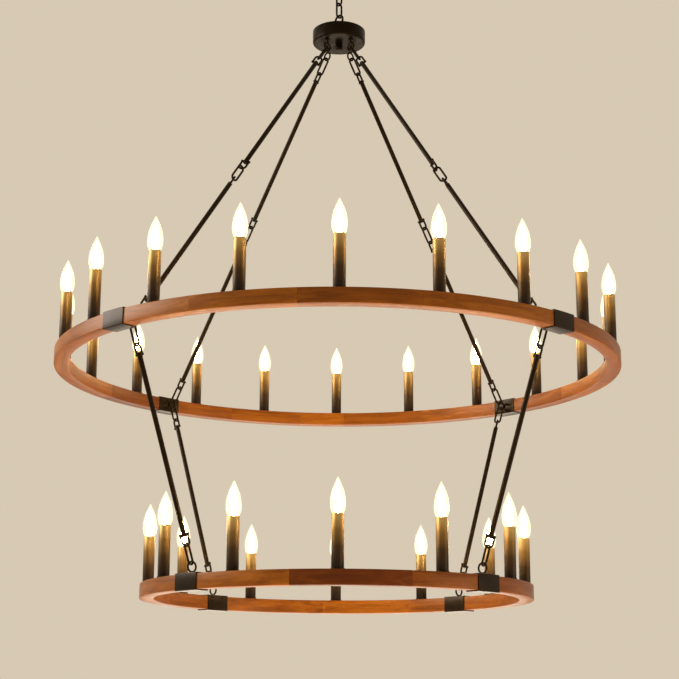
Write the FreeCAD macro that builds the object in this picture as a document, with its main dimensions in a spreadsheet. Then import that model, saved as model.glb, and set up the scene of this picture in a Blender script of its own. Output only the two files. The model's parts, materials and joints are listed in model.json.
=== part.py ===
import FreeCAD, Part
import math
import os
import Sketcher

Vector = FreeCAD.Vector
Rotation = FreeCAD.Rotation
Placement = FreeCAD.Placement

# A two-tier wagon wheel chandelier: two wooden wheel rims with candle lamps, hung one under
# the other on four lines of rods and links from a round hub, which hangs on a short chain
# from its ceiling canopy. Millimetres, +Z up. The origin is the middle of the crossbar's top
# face, where the crossbar lies against the ceiling, so the whole lamp is at negative Z.

doc = FreeCAD.newDocument("wagon_wheel_chandelier")
sheet = doc.addObject("Spreadsheet::Sheet", "Sizes")

SIZES = [
    # ceiling plate and canopy
    ("crossbar_length", 118),
    ("crossbar_breadth", 20),
    ("crossbar_thickness", 2.5),
    ("box_screw_spacing", 88.9),
    ("box_screw_hole", 5),
    ("ground_screw_hole", 4.2),
    ("ground_screw_place", 24),
    ("canopy_width", 130),
    ("canopy_depth", 28),
    ("canopy_wall", 1.5),
    ("canopy_rim_height", 7),
    ("canopy_shoulder", 17),
    ("canopy_slope_in", 6),
    ("canopy_slope_up", 6),
    ("stem_width", 10),
    ("stem_bore", 7),
    ("stem_nut_flats", 17),
    ("stem_nut_height", 5),
    ("collar_width", 24),
    ("collar_height", 9),
    ("collar_seat", 5),
    ("neck_width", 12),
    ("canopy_neck_height", 1),
    ("hub_neck_height", 7),
    ("loop_width", 28),
    ("loop_wire", 5),
    # main chain
    ("chain_length", 40),
    ("chain_width", 20),
    ("chain_wire", 4.5),
    ("chain_play", 0.3),
    # hub
    ("hub_width", 120),
    ("hub_height", 28),
    ("hub_wall", 2.5),
    ("hub_edge", 4),
    ("hub_lid_thickness", 3),
    ("knob_width", 16),
    ("knob_height", 15),
    ("knob_seat", 9),
    ("knob_edge", 3),
    ("terminal_length", 30),
    ("terminal_breadth", 12),
    ("terminal_height", 11),
    ("terminal_place", 22),
    # screw eyes
    ("eye_wire", 4),
    ("eye_width", 22),
    ("eye_stem", 6),
    ("eye_shoulder_width", 11),
    ("eye_shoulder_height", 3),
    ("eye_neck", 5),
    ("hub_eye_circle", 38),
    ("hub_eye_nut_flats", 10),
    ("hub_eye_nut_height", 5),
    ("clamp_eye_width", 24),
    ("clamp_eye_depth", 20),
    # suspension lines
    ("hub_to_upper_ring", 750),
    ("upper_to_lower_ring", 486.6),
    ("line_wire", 4.5),
    ("line_link_length", 46),
    ("line_link_width", 19),
    ("line_play", 0.5),
    ("lower_eye_play", 0.85),
    ("rod_width", 10),
    ("rod_beyond_pin", 4.5),
    ("bail_width", 20),
    ("bail_reach", 25),
    ("pin_width", 5.2),
    ("pin_length", 21),
    # wheel rims
    ("upper_ring_width", 1219),
    ("lower_ring_width", 825.6),
    ("rim_breadth", 30),
    ("rim_height", 30),
    ("rim_edge", 1.5),
    ("rim_joint", 0.4),
    ("groove_breadth", 20),
    ("groove_depth", 10),
    ("strip_thickness", 2.5),
    ("wire_width", 2.4),
    ("wire_offset", 7.3),
    ("clamp_length", 60),
    ("clamp_wall", 2),
    ("fit", 0.2),
    # candle lamps
    ("upper_lamps", 20),
    ("lower_lamps", 12),
    ("cup_width", 27),
    ("cup_height", 2.5),
    ("cup_edge", 1),
    ("nipple_width", 9.6),
    ("nipple_bore", 6.5),
    ("nipple_depth", 24),
    ("nipple_nut_flats", 14),
    ("nipple_nut_height", 4),
    ("nipple_reach", 6),
    ("sleeve_width", 24),
    ("sleeve_wall", 1.2),
    ("sleeve_height", 101.6),
    ("socket_width", 19),
    ("socket_stem_width", 12),
    ("socket_collar_width", 15),
    ("socket_collar_height", 9.5),
    ("socket_cup_height", 29),
    ("socket_sink", 4),
    ("socket_floor", 4),
    ("cap_width", 11.8),
    ("cap_height", 25),
    ("cap_wall", 0.8),
    ("cap_tip_height", 1.6),
    ("cap_shoulder_height", 4.8),
    ("socket_bore", 13.2),
    ("bulb_width", 30),
    ("bulb_height", 70),
    ("bulb_neck", 12.6),
    ("bulb_wall", 1),
]

for row, (alias, value) in enumerate(SIZES, start=1):
    sheet.set(f"A{row}", alias)
    sheet.set(f"B{row}", str(value))
    sheet.setAlias(f"B{row}", alias)
doc.recompute()

finished = []


def worked_out(expression):
    """The number that an expression on the sheet's sizes gives."""
    return float(sheet.evalExpression(expression))


def size(alias):
    return float(sheet.get(alias))


def about_z(degrees):
    return Rotation(Vector(0, 0, 1), degrees)


def origin_feature(body, role):
    return [item for item in body.Origin.OriginFeatures if item.Role == role][0]


def new_body(label, place=None):
    """A piece, or a set of like pieces, as one body that may hold several solids."""
    body = doc.addObject("PartDesign::Body", label)
    body.Label = label
    body.AllowCompound = True
    if place is not None:
        body.Placement = place
    finished.append(body)
    return body


def sketch_on(body, role, across="0", up="0"):
    sketch = body.newObject("Sketcher::SketchObject", body.Name + "_sketch")
    sketch.AttachmentSupport = (origin_feature(body, role), [""])
    sketch.MapMode = "FlatFace"
    sketch.setExpression("AttachmentOffset.Base.x", across)
    sketch.setExpression("AttachmentOffset.Base.y", up)
    return sketch


def fix_point(sketch, line, end, across, up):
    """Ties one end of a sketch line to two expressions."""
    for kind, expression in (("DistanceX", across), ("DistanceY", up)):
        rule = sketch.addConstraint(
            Sketcher.Constraint(kind, -1, 1, line, end, worked_out(expression)))
        sketch.setExpression(f"Constraints[{rule}]", expression)


def outline(sketch, corners):
    """A closed outline of straight lines, each corner given by two expressions."""
    places = [Vector(worked_out(across), worked_out(up), 0) for across, up in corners]
    first = sketch.GeometryCount
    count = len(places)
    for step in range(count):
        sketch.addGeometry(Part.LineSegment(places[step], places[(step + 1) % count]))
    for step in range(count):
        sketch.addConstraint(
            Sketcher.Constraint("Coincident", first + step, 2, first + (step + 1) % count, 1))
    for step, (across, up) in enumerate(corners):
        fix_point(sketch, first + step, 1, across, up)


def circle_at(sketch, across, up, radius):
    centre = Vector(worked_out(across), worked_out(up), 0)
    ring = sketch.addGeometry(Part.Circle(centre, Vector(0, 0, 1), worked_out(radius)))
    fix_point(sketch, ring, 3, across, up)
    rule = sketch.addConstraint(Sketcher.Constraint("Radius", ring, worked_out(radius)))
    sketch.setExpression(f"Constraints[{rule}]", radius)


def polygon_corners(sides, across, flats):
    """The corners of a regular nut outline of a given width across its flats."""
    half_turn = 180 / sides
    corners = []
    for corner in range(sides):
        turn = (2 * corner + 1) * half_turn
        reach = f"{flats} / 2 / cos({half_turn} deg)"
        corners.append((f"{across} + {reach} * cos({turn} deg)", f"{reach} * sin({turn} deg)"))
    return corners


def turned(body, corners, across="0", up="0", angle=None, axis=None):
    """A profile in the XZ plane turned round its own upright axis, or round the body's Z."""
    sketch = sketch_on(body, "XZ_Plane", across, up)
    outline(sketch, corners)
    turn = body.newObject("PartDesign::Revolution", body.Name + "_turned")
    turn.Profile = sketch
    if axis is None:
        turn.ReferenceAxis = (sketch, ["V_Axis"])
    else:
        turn.ReferenceAxis = (origin_feature(body, axis), [""])
    turn.Angle = 360
    if angle is not None:
        turn.Midplane = True
        turn.setExpression("Angle", angle)
    return turn


def raised(body, corners, up, height, holes=()):
    """An outline in the XY plane raised by a height from a level."""
    sketch = body.newObject("Sketcher::SketchObject", body.Name + "_outline")
    sketch.AttachmentSupport = (origin_feature(body, "XY_Plane"), [""])
    sketch.MapMode = "FlatFace"
    sketch.setExpression("AttachmentOffset.Base.z", up)
    outline(sketch, corners)
    for across, along, radius in holes:
        circle_at(sketch, across, along, radius)
    pad = body.newObject("PartDesign::Pad", body.Name + "_raised")
    pad.Profile = sketch
    pad.setExpression("Length", height)
    return pad


def drilled(body, radius, height, place):
    """A round hole from place.Base along the placement's own Z."""
    hole = body.newObject("PartDesign::SubtractiveCylinder", body.Name + "_hole")
    hole.setExpression("Radius", radius)
    hole.setExpression("Height", height)
    hole.Placement = place
    return hole


def round_bar(body, radius, height, place):
    bar = body.newObject("PartDesign::AdditiveCylinder", body.Name + "_bar")
    bar.setExpression("Radius", radius)
    bar.setExpression("Height", height)
    bar.Placement = place
    return bar


def wire_ring(body, width, wire, place):
    """A round ring of wire of a given outer width."""
    ring = body.newObject("PartDesign::AdditiveTorus", body.Name + "_ring")
    ring.setExpression("Radius1", f"({width} - {wire}) / 2")
    ring.setExpression("Radius2", f"{wire} / 2")
    ring.Placement = place
    return ring


def wire_loop(body, role, middle, length, width, wire):
    """A closed loop of wire with two straight sides, upright in the XZ or the YZ plane."""
    side = f"({width} - {wire}) / 2"
    straight = f"({length} - {width}) / 2"
    top = f"{middle} + {straight}"
    bottom = f"{middle} - {straight}"
    path = sketch_on(body, role)
    reach = worked_out(side)
    high = worked_out(top)
    low = worked_out(bottom)
    upright = Vector(0, 0, 1)
    path.addGeometry(Part.LineSegment(Vector(reach, low, 0), Vector(reach, high, 0)))
    path.addGeometry(
        Part.ArcOfCircle(Part.Circle(Vector(0, high, 0), upright, reach), 0, math.pi))
    path.addGeometry(Part.LineSegment(Vector(-reach, high, 0), Vector(-reach, low, 0)))
    path.addGeometry(
        Part.ArcOfCircle(Part.Circle(Vector(0, low, 0), upright, reach), math.pi, 2 * math.pi))
    for piece in range(4):
        path.addConstraint(Sketcher.Constraint("Coincident", piece, 2, (piece + 1) % 4, 1))
    fix_point(path, 0, 1, side, bottom)
    fix_point(path, 0, 2, side, top)
    fix_point(path, 2, 1, f"-({side})", top)
    fix_point(path, 2, 2, f"-({side})", bottom)
    for arc, level in ((1, top), (3, bottom)):
        rule = path.addConstraint(
            Sketcher.Constraint("DistanceY", -1, 1, arc, 3, worked_out(level)))
        path.setExpression(f"Constraints[{rule}]", level)

    section = body.newObject("Sketcher::SketchObject", body.Name + "_section")
    section.AttachmentSupport = (origin_feature(body, "XY_Plane"), [""])
    section.MapMode = "FlatFace"
    section.setExpression("AttachmentOffset.Base.z", middle)
    if role == "XZ_Plane":
        circle_at(section, side, "0", f"{wire} / 2")
    else:
        circle_at(section, "0", side, f"{wire} / 2")
    pipe = body.newObject("PartDesign::AdditivePipe", body.Name + "_loop")
    pipe.Profile = section
    pipe.Spine = (path, [])
    return pipe


def all_round(body, feature, count):
    """Repeats the body's newest feature evenly round its Z axis."""
    pattern = body.newObject("PartDesign::PolarPattern", body.Name + "_all_round")
    pattern.Originals = [feature]
    pattern.Axis = (origin_feature(body, "Z_Axis"), [""])
    pattern.Angle = 360
    pattern.setExpression("Occurrences", count)
    body.Tip = pattern
    return pattern


# ---------------------------------------------------------------- levels, worked out downwards

chain_pitch = size("chain_length") - size("chain_wire")
loop_radius = (size("loop_width") - size("loop_wire")) / 2
loop_to_chain = (size("loop_wire") + size("chain_wire")) / 2 + size("chain_play")
chain_to_chain = size("chain_wire") + size("chain_play")

canopy_bottom = -size("canopy_depth")
collar_bottom = canopy_bottom - size("collar_height")
canopy_loop_middle = collar_bottom - size("loop_width") / 2 + size("loop_wire") / 4
canopy_loop_wire = canopy_loop_middle - loop_radius

CHAIN_COUNT = 4
chain_tops = [canopy_loop_wire + loop_to_chain]
for link in range(1, CHAIN_COUNT):
    chain_tops.append(chain_tops[-1] - chain_pitch + chain_to_chain)
hub_loop_wire = chain_tops[-1] - chain_pitch + loop_to_chain
hub_loop_middle = hub_loop_wire - loop_radius
hub_neck_top = hub_loop_middle - size("loop_width") / 2 + size("loop_wire") / 4
hub_top = hub_neck_top - size("hub_neck_height") - size("collar_height")
hub_shell_top = hub_top - size("hub_lid_thickness")
hub_bottom = hub_shell_top - size("hub_height")

upper_ring_top = hub_bottom - size("hub_to_upper_ring")
lower_ring_top = upper_ring_top - size("upper_to_lower_ring")

# ---------------------------------------------------------------- ceiling plate and canopy

crossbar = new_body("ceiling_crossbar")
raised(
    crossbar,
    [
        ("-Sizes.crossbar_length / 2", "-Sizes.crossbar_breadth / 2"),
        ("Sizes.crossbar_length / 2", "-Sizes.crossbar_breadth / 2"),
        ("Sizes.crossbar_length / 2", "Sizes.crossbar_breadth / 2"),
        ("-Sizes.crossbar_length / 2", "Sizes.crossbar_breadth / 2"),
    ],
    "-Sizes.crossbar_thickness",
    "Sizes.crossbar_thickness",
    holes=[
        ("0", "0", "Sizes.stem_width / 2 + Sizes.fit / 2"),
        ("Sizes.box_screw_spacing / 2", "0", "Sizes.box_screw_hole / 2"),
        ("-Sizes.box_screw_spacing / 2", "0", "Sizes.box_screw_hole / 2"),
        ("Sizes.ground_screw_place", "0", "Sizes.ground_screw_hole / 2"),
        ("-Sizes.ground_screw_place", "0", "Sizes.ground_screw_hole / 2"),
    ],
)

def threaded_stem(label, top, bottom):
    """A hollow threaded stem between two levels."""
    body = new_body(label, Placement(Vector(0, 0, top), Rotation()))
    length = top - bottom
    outer = "Sizes.stem_width / 2"
    inner = "Sizes.stem_bore / 2"
    turned(body, [(inner, "0"), (outer, "0"), (outer, f"-{length}"), (inner, f"-{length}")])


def stem_nut_corners():
    return polygon_corners(6, "0", "Sizes.stem_nut_flats")


STEM_HOLE = ("0", "0", "Sizes.stem_width / 2 + Sizes.fit / 2")

threaded_stem("canopy_stem", 0, canopy_bottom - size("collar_seat"))

canopy_nut = new_body("canopy_stem_nut")
raised(
    canopy_nut,
    stem_nut_corners(),
    "-Sizes.crossbar_thickness - Sizes.stem_nut_height",
    "Sizes.stem_nut_height",
    holes=[STEM_HOLE],
)

canopy = new_body("ceiling_canopy")
CANOPY_HOLE = "Sizes.stem_width / 2 + Sizes.fit"
turned(
    canopy,
    [
        ("Sizes.canopy_width / 2 - Sizes.canopy_wall", "0"),
        ("Sizes.canopy_width / 2", "0"),
        ("Sizes.canopy_width / 2", "-Sizes.canopy_rim_height"),
        ("Sizes.canopy_width / 2 - Sizes.canopy_slope_in",
         "-Sizes.canopy_depth + Sizes.canopy_slope_up"),
        ("Sizes.canopy_width / 2 - Sizes.canopy_shoulder", "-Sizes.canopy_depth"),
        (CANOPY_HOLE, "-Sizes.canopy_depth"),
        (CANOPY_HOLE, "-Sizes.canopy_depth + Sizes.canopy_wall"),
        ("Sizes.canopy_width / 2 - Sizes.canopy_shoulder - Sizes.canopy_wall",
         "-Sizes.canopy_depth + Sizes.canopy_wall"),
        ("Sizes.canopy_width / 2 - Sizes.canopy_slope_in - Sizes.canopy_wall",
         "-Sizes.canopy_depth + Sizes.canopy_slope_up + Sizes.canopy_wall / 2"),
        ("Sizes.canopy_width / 2 - Sizes.canopy_wall", "-Sizes.canopy_rim_height"),
    ],
)


def collar_and_loop(label, seat_level, direction, ring_place, neck):
    """A screw collar with a neck and a closed ring. direction is 1 where the ring is above."""
    body = new_body(label, Placement(Vector(0, 0, seat_level), Rotation()))
    outer = "Sizes.collar_width / 2"
    inner = "Sizes.stem_width / 2 + Sizes.fit / 2"
    edge = "Sizes.loop_wire / 4"
    neck_side = "Sizes.neck_width / 2"
    sign = "" if direction > 0 else "-"
    top = f"{sign}(Sizes.collar_height + {neck})"
    turned(
        body,
        [
            (inner, "0"),
            (outer, "0"),
            (outer, f"{sign}(Sizes.collar_height - {edge})"),
            (f"{outer} - {edge}", f"{sign}Sizes.collar_height"),
            (neck_side, f"{sign}Sizes.collar_height"),
            (neck_side, top),
            ("0", top),
            ("0", f"{sign}(Sizes.collar_seat + Sizes.fit)"),
            (inner, f"{sign}(Sizes.collar_seat + Sizes.fit)"),
        ],
    )
    wire_ring(body, "Sizes.loop_width", "Sizes.loop_wire", ring_place)


ring_in_xz = Rotation(Vector(1, 0, 0), 90)
ring_in_yz = Rotation(Vector(0, 1, 0), 90)
# the chain and the loops at its two ends stand turned from the lamp's own axes
chain_turn = about_z(45)

collar_and_loop(
    "canopy_loop",
    canopy_bottom,
    -1,
    Placement(
        Vector(0, 0, canopy_loop_middle - canopy_bottom), chain_turn.multiply(ring_in_xz)),
    "Sizes.canopy_neck_height",
)

# ---------------------------------------------------------------- main chain

for number, top_bar in enumerate(chain_tops, start=1):
    plane = "YZ_Plane" if number % 2 == 1 else "XZ_Plane"
    link_middle = top_bar - chain_pitch / 2
    link_body = new_body(f"chain_link_{number}", Placement(Vector(0, 0, link_middle), chain_turn))
    wire_loop(link_body, plane, "0", "Sizes.chain_length", "Sizes.chain_width", "Sizes.chain_wire")

# ---------------------------------------------------------------- hub

collar_and_loop(
    "hub_loop",
    hub_top,
    1,
    Placement(Vector(0, 0, hub_loop_middle - hub_top), chain_turn.multiply(ring_in_yz)),
    "Sizes.hub_neck_height",
)

hub_lid = new_body("hub_lid", Placement(Vector(0, 0, hub_shell_top), Rotation()))
turned(
    hub_lid,
    [
        ("Sizes.stem_width / 2 + Sizes.fit", "0"),
        ("Sizes.hub_width / 2", "0"),
        ("Sizes.hub_width / 2", "Sizes.hub_lid_thickness / 2"),
        ("Sizes.hub_width / 2 - Sizes.hub_lid_thickness / 2", "Sizes.hub_lid_thickness"),
        ("Sizes.stem_width / 2 + Sizes.fit", "Sizes.hub_lid_thickness"),
    ],
)

hub_shell = new_body(
    "hub_shell", Placement(Vector(0, 0, hub_bottom), about_z(45)))
turned(
    hub_shell,
    [
        ("Sizes.stem_width / 2 + Sizes.fit", "0"),
        ("Sizes.hub_width / 2 - Sizes.hub_edge", "0"),
        ("Sizes.hub_width / 2 - Sizes.hub_edge * (1 - sin(30 deg))",
         "Sizes.hub_edge * (1 - cos(30 deg))"),
        ("Sizes.hub_width / 2 - Sizes.hub_edge * (1 - sin(60 deg))",
         "Sizes.hub_edge * (1 - cos(60 deg))"),
        ("Sizes.hub_width / 2", "Sizes.hub_edge"),
        ("Sizes.hub_width / 2", "Sizes.hub_height"),
        ("Sizes.hub_width / 2 - Sizes.hub_wall", "Sizes.hub_height"),
        ("Sizes.hub_width / 2 - Sizes.hub_wall", "Sizes.hub_edge"),
        ("Sizes.hub_width / 2 - Sizes.hub_edge", "Sizes.hub_wall"),
        ("Sizes.stem_width / 2 + Sizes.fit", "Sizes.hub_wall"),
    ],
)
hub_eye_hole = drilled(
    hub_shell,
    "Sizes.eye_stem / 2 + Sizes.fit",
    "Sizes.hub_wall * 2",
    Placement(Vector(size("hub_eye_circle"), 0, -size("hub_wall") / 2), Rotation()),
)
all_round(hub_shell, hub_eye_hole, "4")

threaded_stem(
    "hub_stem",
    hub_top + size("collar_seat"),
    hub_bottom - size("knob_seat"),
)

hub_nuts = new_body("hub_stem_nuts", Placement(Vector(0, 0, hub_bottom), Rotation()))
raised(hub_nuts, stem_nut_corners(), "Sizes.hub_wall", "Sizes.stem_nut_height",
       holes=[STEM_HOLE])
raised(hub_nuts, stem_nut_corners(), "Sizes.hub_height - Sizes.stem_nut_height",
       "Sizes.stem_nut_height", holes=[STEM_HOLE])

hub_knob = new_body("hub_knob", Placement(Vector(0, 0, hub_bottom), Rotation()))
turned(
    hub_knob,
    [
        ("Sizes.stem_width / 2 + Sizes.fit / 2", "0"),
        ("Sizes.knob_width / 2", "0"),
        ("Sizes.knob_width / 2", "-Sizes.knob_height + Sizes.knob_edge"),
        ("Sizes.knob_width / 2 - Sizes.knob_edge * (1 - cos(45 deg))",
         "-Sizes.knob_height + Sizes.knob_edge * (1 - sin(45 deg))"),
        ("Sizes.knob_width / 2 - Sizes.knob_edge", "-Sizes.knob_height"),
        ("0", "-Sizes.knob_height"),
        ("0", "-Sizes.knob_seat - Sizes.fit"),
        ("Sizes.stem_width / 2 + Sizes.fit / 2", "-Sizes.knob_seat - Sizes.fit"),
    ],
)

hub_eyes = new_body("hub_eyes", Placement(Vector(0, 0, hub_bottom), about_z(45)))
eye_middle = -size("eye_shoulder_height") - size("eye_neck") - size("eye_width") / 2
hub_eye_stem = turned(
    hub_eyes,
    [
        ("0", "-Sizes.eye_shoulder_height - Sizes.eye_neck - Sizes.eye_wire / 2"),
        ("Sizes.eye_stem / 2",
         "-Sizes.eye_shoulder_height - Sizes.eye_neck - Sizes.eye_wire / 2"),
        ("Sizes.eye_stem / 2", "-Sizes.eye_shoulder_height"),
        ("Sizes.eye_shoulder_width / 2", "-Sizes.eye_shoulder_height"),
        ("Sizes.eye_shoulder_width / 2", "0"),
        ("Sizes.eye_stem / 2", "0"),
        ("Sizes.eye_stem / 2", "Sizes.hub_wall + Sizes.hub_eye_nut_height + Sizes.fit"),
        ("0", "Sizes.hub_wall + Sizes.hub_eye_nut_height + Sizes.fit"),
    ],
    across="Sizes.hub_eye_circle",
)
all_round(hub_eyes, hub_eye_stem, "4")
hub_eye_ring = wire_ring(
    hub_eyes,
    "Sizes.eye_width",
    "Sizes.eye_wire",
    Placement(Vector(size("hub_eye_circle"), 0, eye_middle), ring_in_xz),
)
all_round(hub_eyes, hub_eye_ring, "4")

hub_eye_nuts = new_body("hub_eye_nuts", Placement(Vector(0, 0, hub_bottom), about_z(45)))
eye_nut = raised(
    hub_eye_nuts,
    polygon_corners(6, "Sizes.hub_eye_circle", "Sizes.hub_eye_nut_flats"),
    "Sizes.hub_wall",
    "Sizes.hub_eye_nut_height",
    holes=[("Sizes.hub_eye_circle", "0", "Sizes.eye_stem / 2 + Sizes.fit / 2")],
)
all_round(hub_eye_nuts, eye_nut, "4")

terminals = new_body("hub_terminal_blocks", Placement(Vector(0, 0, hub_bottom), Rotation()))
terminal = raised(
    terminals,
    [
        ("Sizes.terminal_place", "-Sizes.terminal_length / 2"),
        ("Sizes.terminal_place + Sizes.terminal_breadth", "-Sizes.terminal_length / 2"),
        ("Sizes.terminal_place + Sizes.terminal_breadth", "Sizes.terminal_length / 2"),
        ("Sizes.terminal_place", "Sizes.terminal_length / 2"),
    ],
    "Sizes.hub_wall",
    "Sizes.terminal_height",
)
all_round(terminals, terminal, "2")


# ---------------------------------------------------------------- wheel rims and their lamps

def lamp_ring(name, width, lamps, top, eye_above):
    """One wheel rim with its clamps, eyes, wiring and candle lamps."""
    middle = f"(({width} - Sizes.rim_breadth) / 2)"
    half = "Sizes.rim_breadth / 2"
    edge = "Sizes.rim_edge"
    groove = "Sizes.groove_breadth / 2"
    seat = Placement(Vector(0, 0, top), Rotation())
    turned_seat = Placement(Vector(0, 0, top), about_z(45))
    middle_radius = worked_out(middle)

    # four wooden arcs, whose ends meet inside the clamps
    rim = new_body(f"{name}_rim", seat)
    turned(
        rim,
        [
            (f"-{half} + {edge}", "0"),
            (f"-{groove}", "0"),
            (f"-{groove}", "-Sizes.groove_depth"),
            (groove, "-Sizes.groove_depth"),
            (groove, "0"),
            (f"{half} - {edge}", "0"),
            (half, f"-{edge}"),
            (half, f"-Sizes.rim_height + {edge}"),
            (f"{half} - {edge}", "-Sizes.rim_height"),
            (f"-{half} + {edge}", "-Sizes.rim_height"),
            (f"-{half}", f"-Sizes.rim_height + {edge}"),
            (f"-{half}", f"-{edge}"),
        ],
        across=middle,
        angle=f"90 - Sizes.rim_joint / {middle} * 180 / pi",
        axis="Z_Axis",
    )
    arc = rim.Tip
    all_round(rim, arc, "4")
    screw_hole = drilled(
        rim,
        "Sizes.nipple_width / 2 + Sizes.fit / 2",
        "Sizes.nipple_depth",
        Placement(Vector(middle_radius, 0, -size("nipple_depth") - size("fit")), Rotation()),
    )
    all_round(rim, screw_hole, lamps)

    # clamps wrap the joints
    clamps = new_body(f"{name}_clamps", turned_seat)
    inside = f"({half} + Sizes.fit)"
    outside = f"({half} + Sizes.fit + Sizes.clamp_wall)"
    clamp_sketch = sketch_on(clamps, "XZ_Plane", middle)
    low_in = "-Sizes.rim_height - Sizes.fit"
    low_out = "-Sizes.rim_height - Sizes.fit - Sizes.clamp_wall"
    outline(clamp_sketch, [
        (f"-{outside}", "Sizes.fit + Sizes.clamp_wall"),
        (f"-{outside}", low_out),
        (outside, low_out),
        (outside, "Sizes.fit + Sizes.clamp_wall"),
    ])
    outline(clamp_sketch, [
        (f"-{inside}", "Sizes.fit"),
        (f"-{inside}", low_in),
        (inside, low_in),
        (inside, "Sizes.fit"),
    ])
    clamp = clamps.newObject("PartDesign::Revolution", clamps.Name + "_turned")
    clamp.Profile = clamp_sketch
    clamp.ReferenceAxis = (origin_feature(clamps, "Z_Axis"), [""])
    clamp.Midplane = True
    clamp.setExpression("Angle", f"Sizes.clamp_length / {middle} * 180 / pi")
    all_round(clamps, clamp, "4")

    # clamp eyes: on the inner wall of the upper rim, on the top wall of the lower rim
    eyes = new_body(f"{name}_clamp_eyes", turned_seat)
    if eye_above:
        ring_middle = Vector(
            middle_radius,
            0,
            size("fit") + size("clamp_wall") + size("clamp_eye_width") / 2,
        )
        stem_start = Vector(middle_radius, 0, -size("clamp_eye_depth"))
        stem_length = "Sizes.clamp_eye_depth + Sizes.fit + Sizes.clamp_wall + Sizes.eye_wire / 2"
        stem_turn = Rotation()
        hole_start = stem_start
    else:
        wall_face = middle_radius - worked_out(outside)
        ring_middle = Vector(wall_face - size("clamp_eye_width") / 2, 0, -size("rim_height") / 2)
        stem_start = Vector(wall_face - size("eye_wire") / 2, 0, -size("rim_height") / 2)
        stem_length = "Sizes.clamp_eye_depth + Sizes.eye_wire / 2"
        stem_turn = Rotation(Vector(0, 1, 0), 90)
        hole_start = stem_start
    eye_stem = round_bar(
        eyes, "Sizes.eye_stem / 2", stem_length, Placement(stem_start, stem_turn))
    all_round(eyes, eye_stem, "4")
    eye_ring = wire_ring(
        eyes, "Sizes.clamp_eye_width", "Sizes.eye_wire", Placement(ring_middle, ring_in_xz))
    all_round(eyes, eye_ring, "4")

    # the eye's stem passes through the clamp and into the wood
    stem_hole = "Sizes.eye_stem / 2 + Sizes.fit / 2"
    hole_length = f"{stem_length} + Sizes.fit"
    clamp_hole = drilled(clamps, stem_hole, hole_length, Placement(hole_start, stem_turn))
    all_round(clamps, clamp_hole, "4")
    turned_start = about_z(45).multVec(hole_start)
    rim_hole = drilled(
        rim, stem_hole, hole_length, Placement(turned_start, about_z(45).multiply(stem_turn)))
    all_round(rim, rim_hole, "4")

    # strip that closes the wiring groove
    strip = new_body(f"{name}_cover_strip", seat)
    strip_side = f"{groove} - Sizes.fit"
    turned(
        strip,
        [
            (f"-({strip_side})", "0"),
            (strip_side, "0"),
            (strip_side, "-Sizes.strip_thickness"),
            (f"-({strip_side})", "-Sizes.strip_thickness"),
        ],
        across=middle,
        axis="Z_Axis",
    )
    strip_hole = drilled(
        strip,
        "Sizes.nipple_width / 2 + Sizes.fit",
        "Sizes.strip_thickness * 2",
        Placement(Vector(middle_radius, 0, -size("strip_thickness") * 1.5), Rotation()),
    )
    all_round(strip, strip_hole, lamps)
    if eye_above:
        crossing = about_z(45).multVec(
            Vector(middle_radius, 0, -size("strip_thickness") * 1.5))
        eye_hole = drilled(
            strip, stem_hole, "Sizes.strip_thickness * 2", Placement(crossing, Rotation()))
        all_round(strip, eye_hole, "4")

    # the two supply wires lie in the groove, one each side of the lamp stems
    wiring = new_body(f"{name}_wiring", seat)
    wire_level = -size("groove_depth") + size("wire_width") / 2 + size("fit") / 2
    for side in (-1, 1):
        lead = wiring.newObject("PartDesign::AdditiveTorus", wiring.Name + "_lead")
        lead.setExpression("Radius1", f"{middle} + {side} * Sizes.wire_offset")
        lead.setExpression("Radius2", "Sizes.wire_width / 2")
        lead.Placement = Placement(Vector(0, 0, wire_level), Rotation())

    lamp_pieces(name, middle, middle_radius, lamps, seat)


def repeated(label, seat, profile, middle, lamps):
    """One turned piece of the lamp, repeated round the rim."""
    body = new_body(label, seat)
    piece = turned(body, profile, across=middle)
    all_round(body, piece, lamps)
    return body


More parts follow.
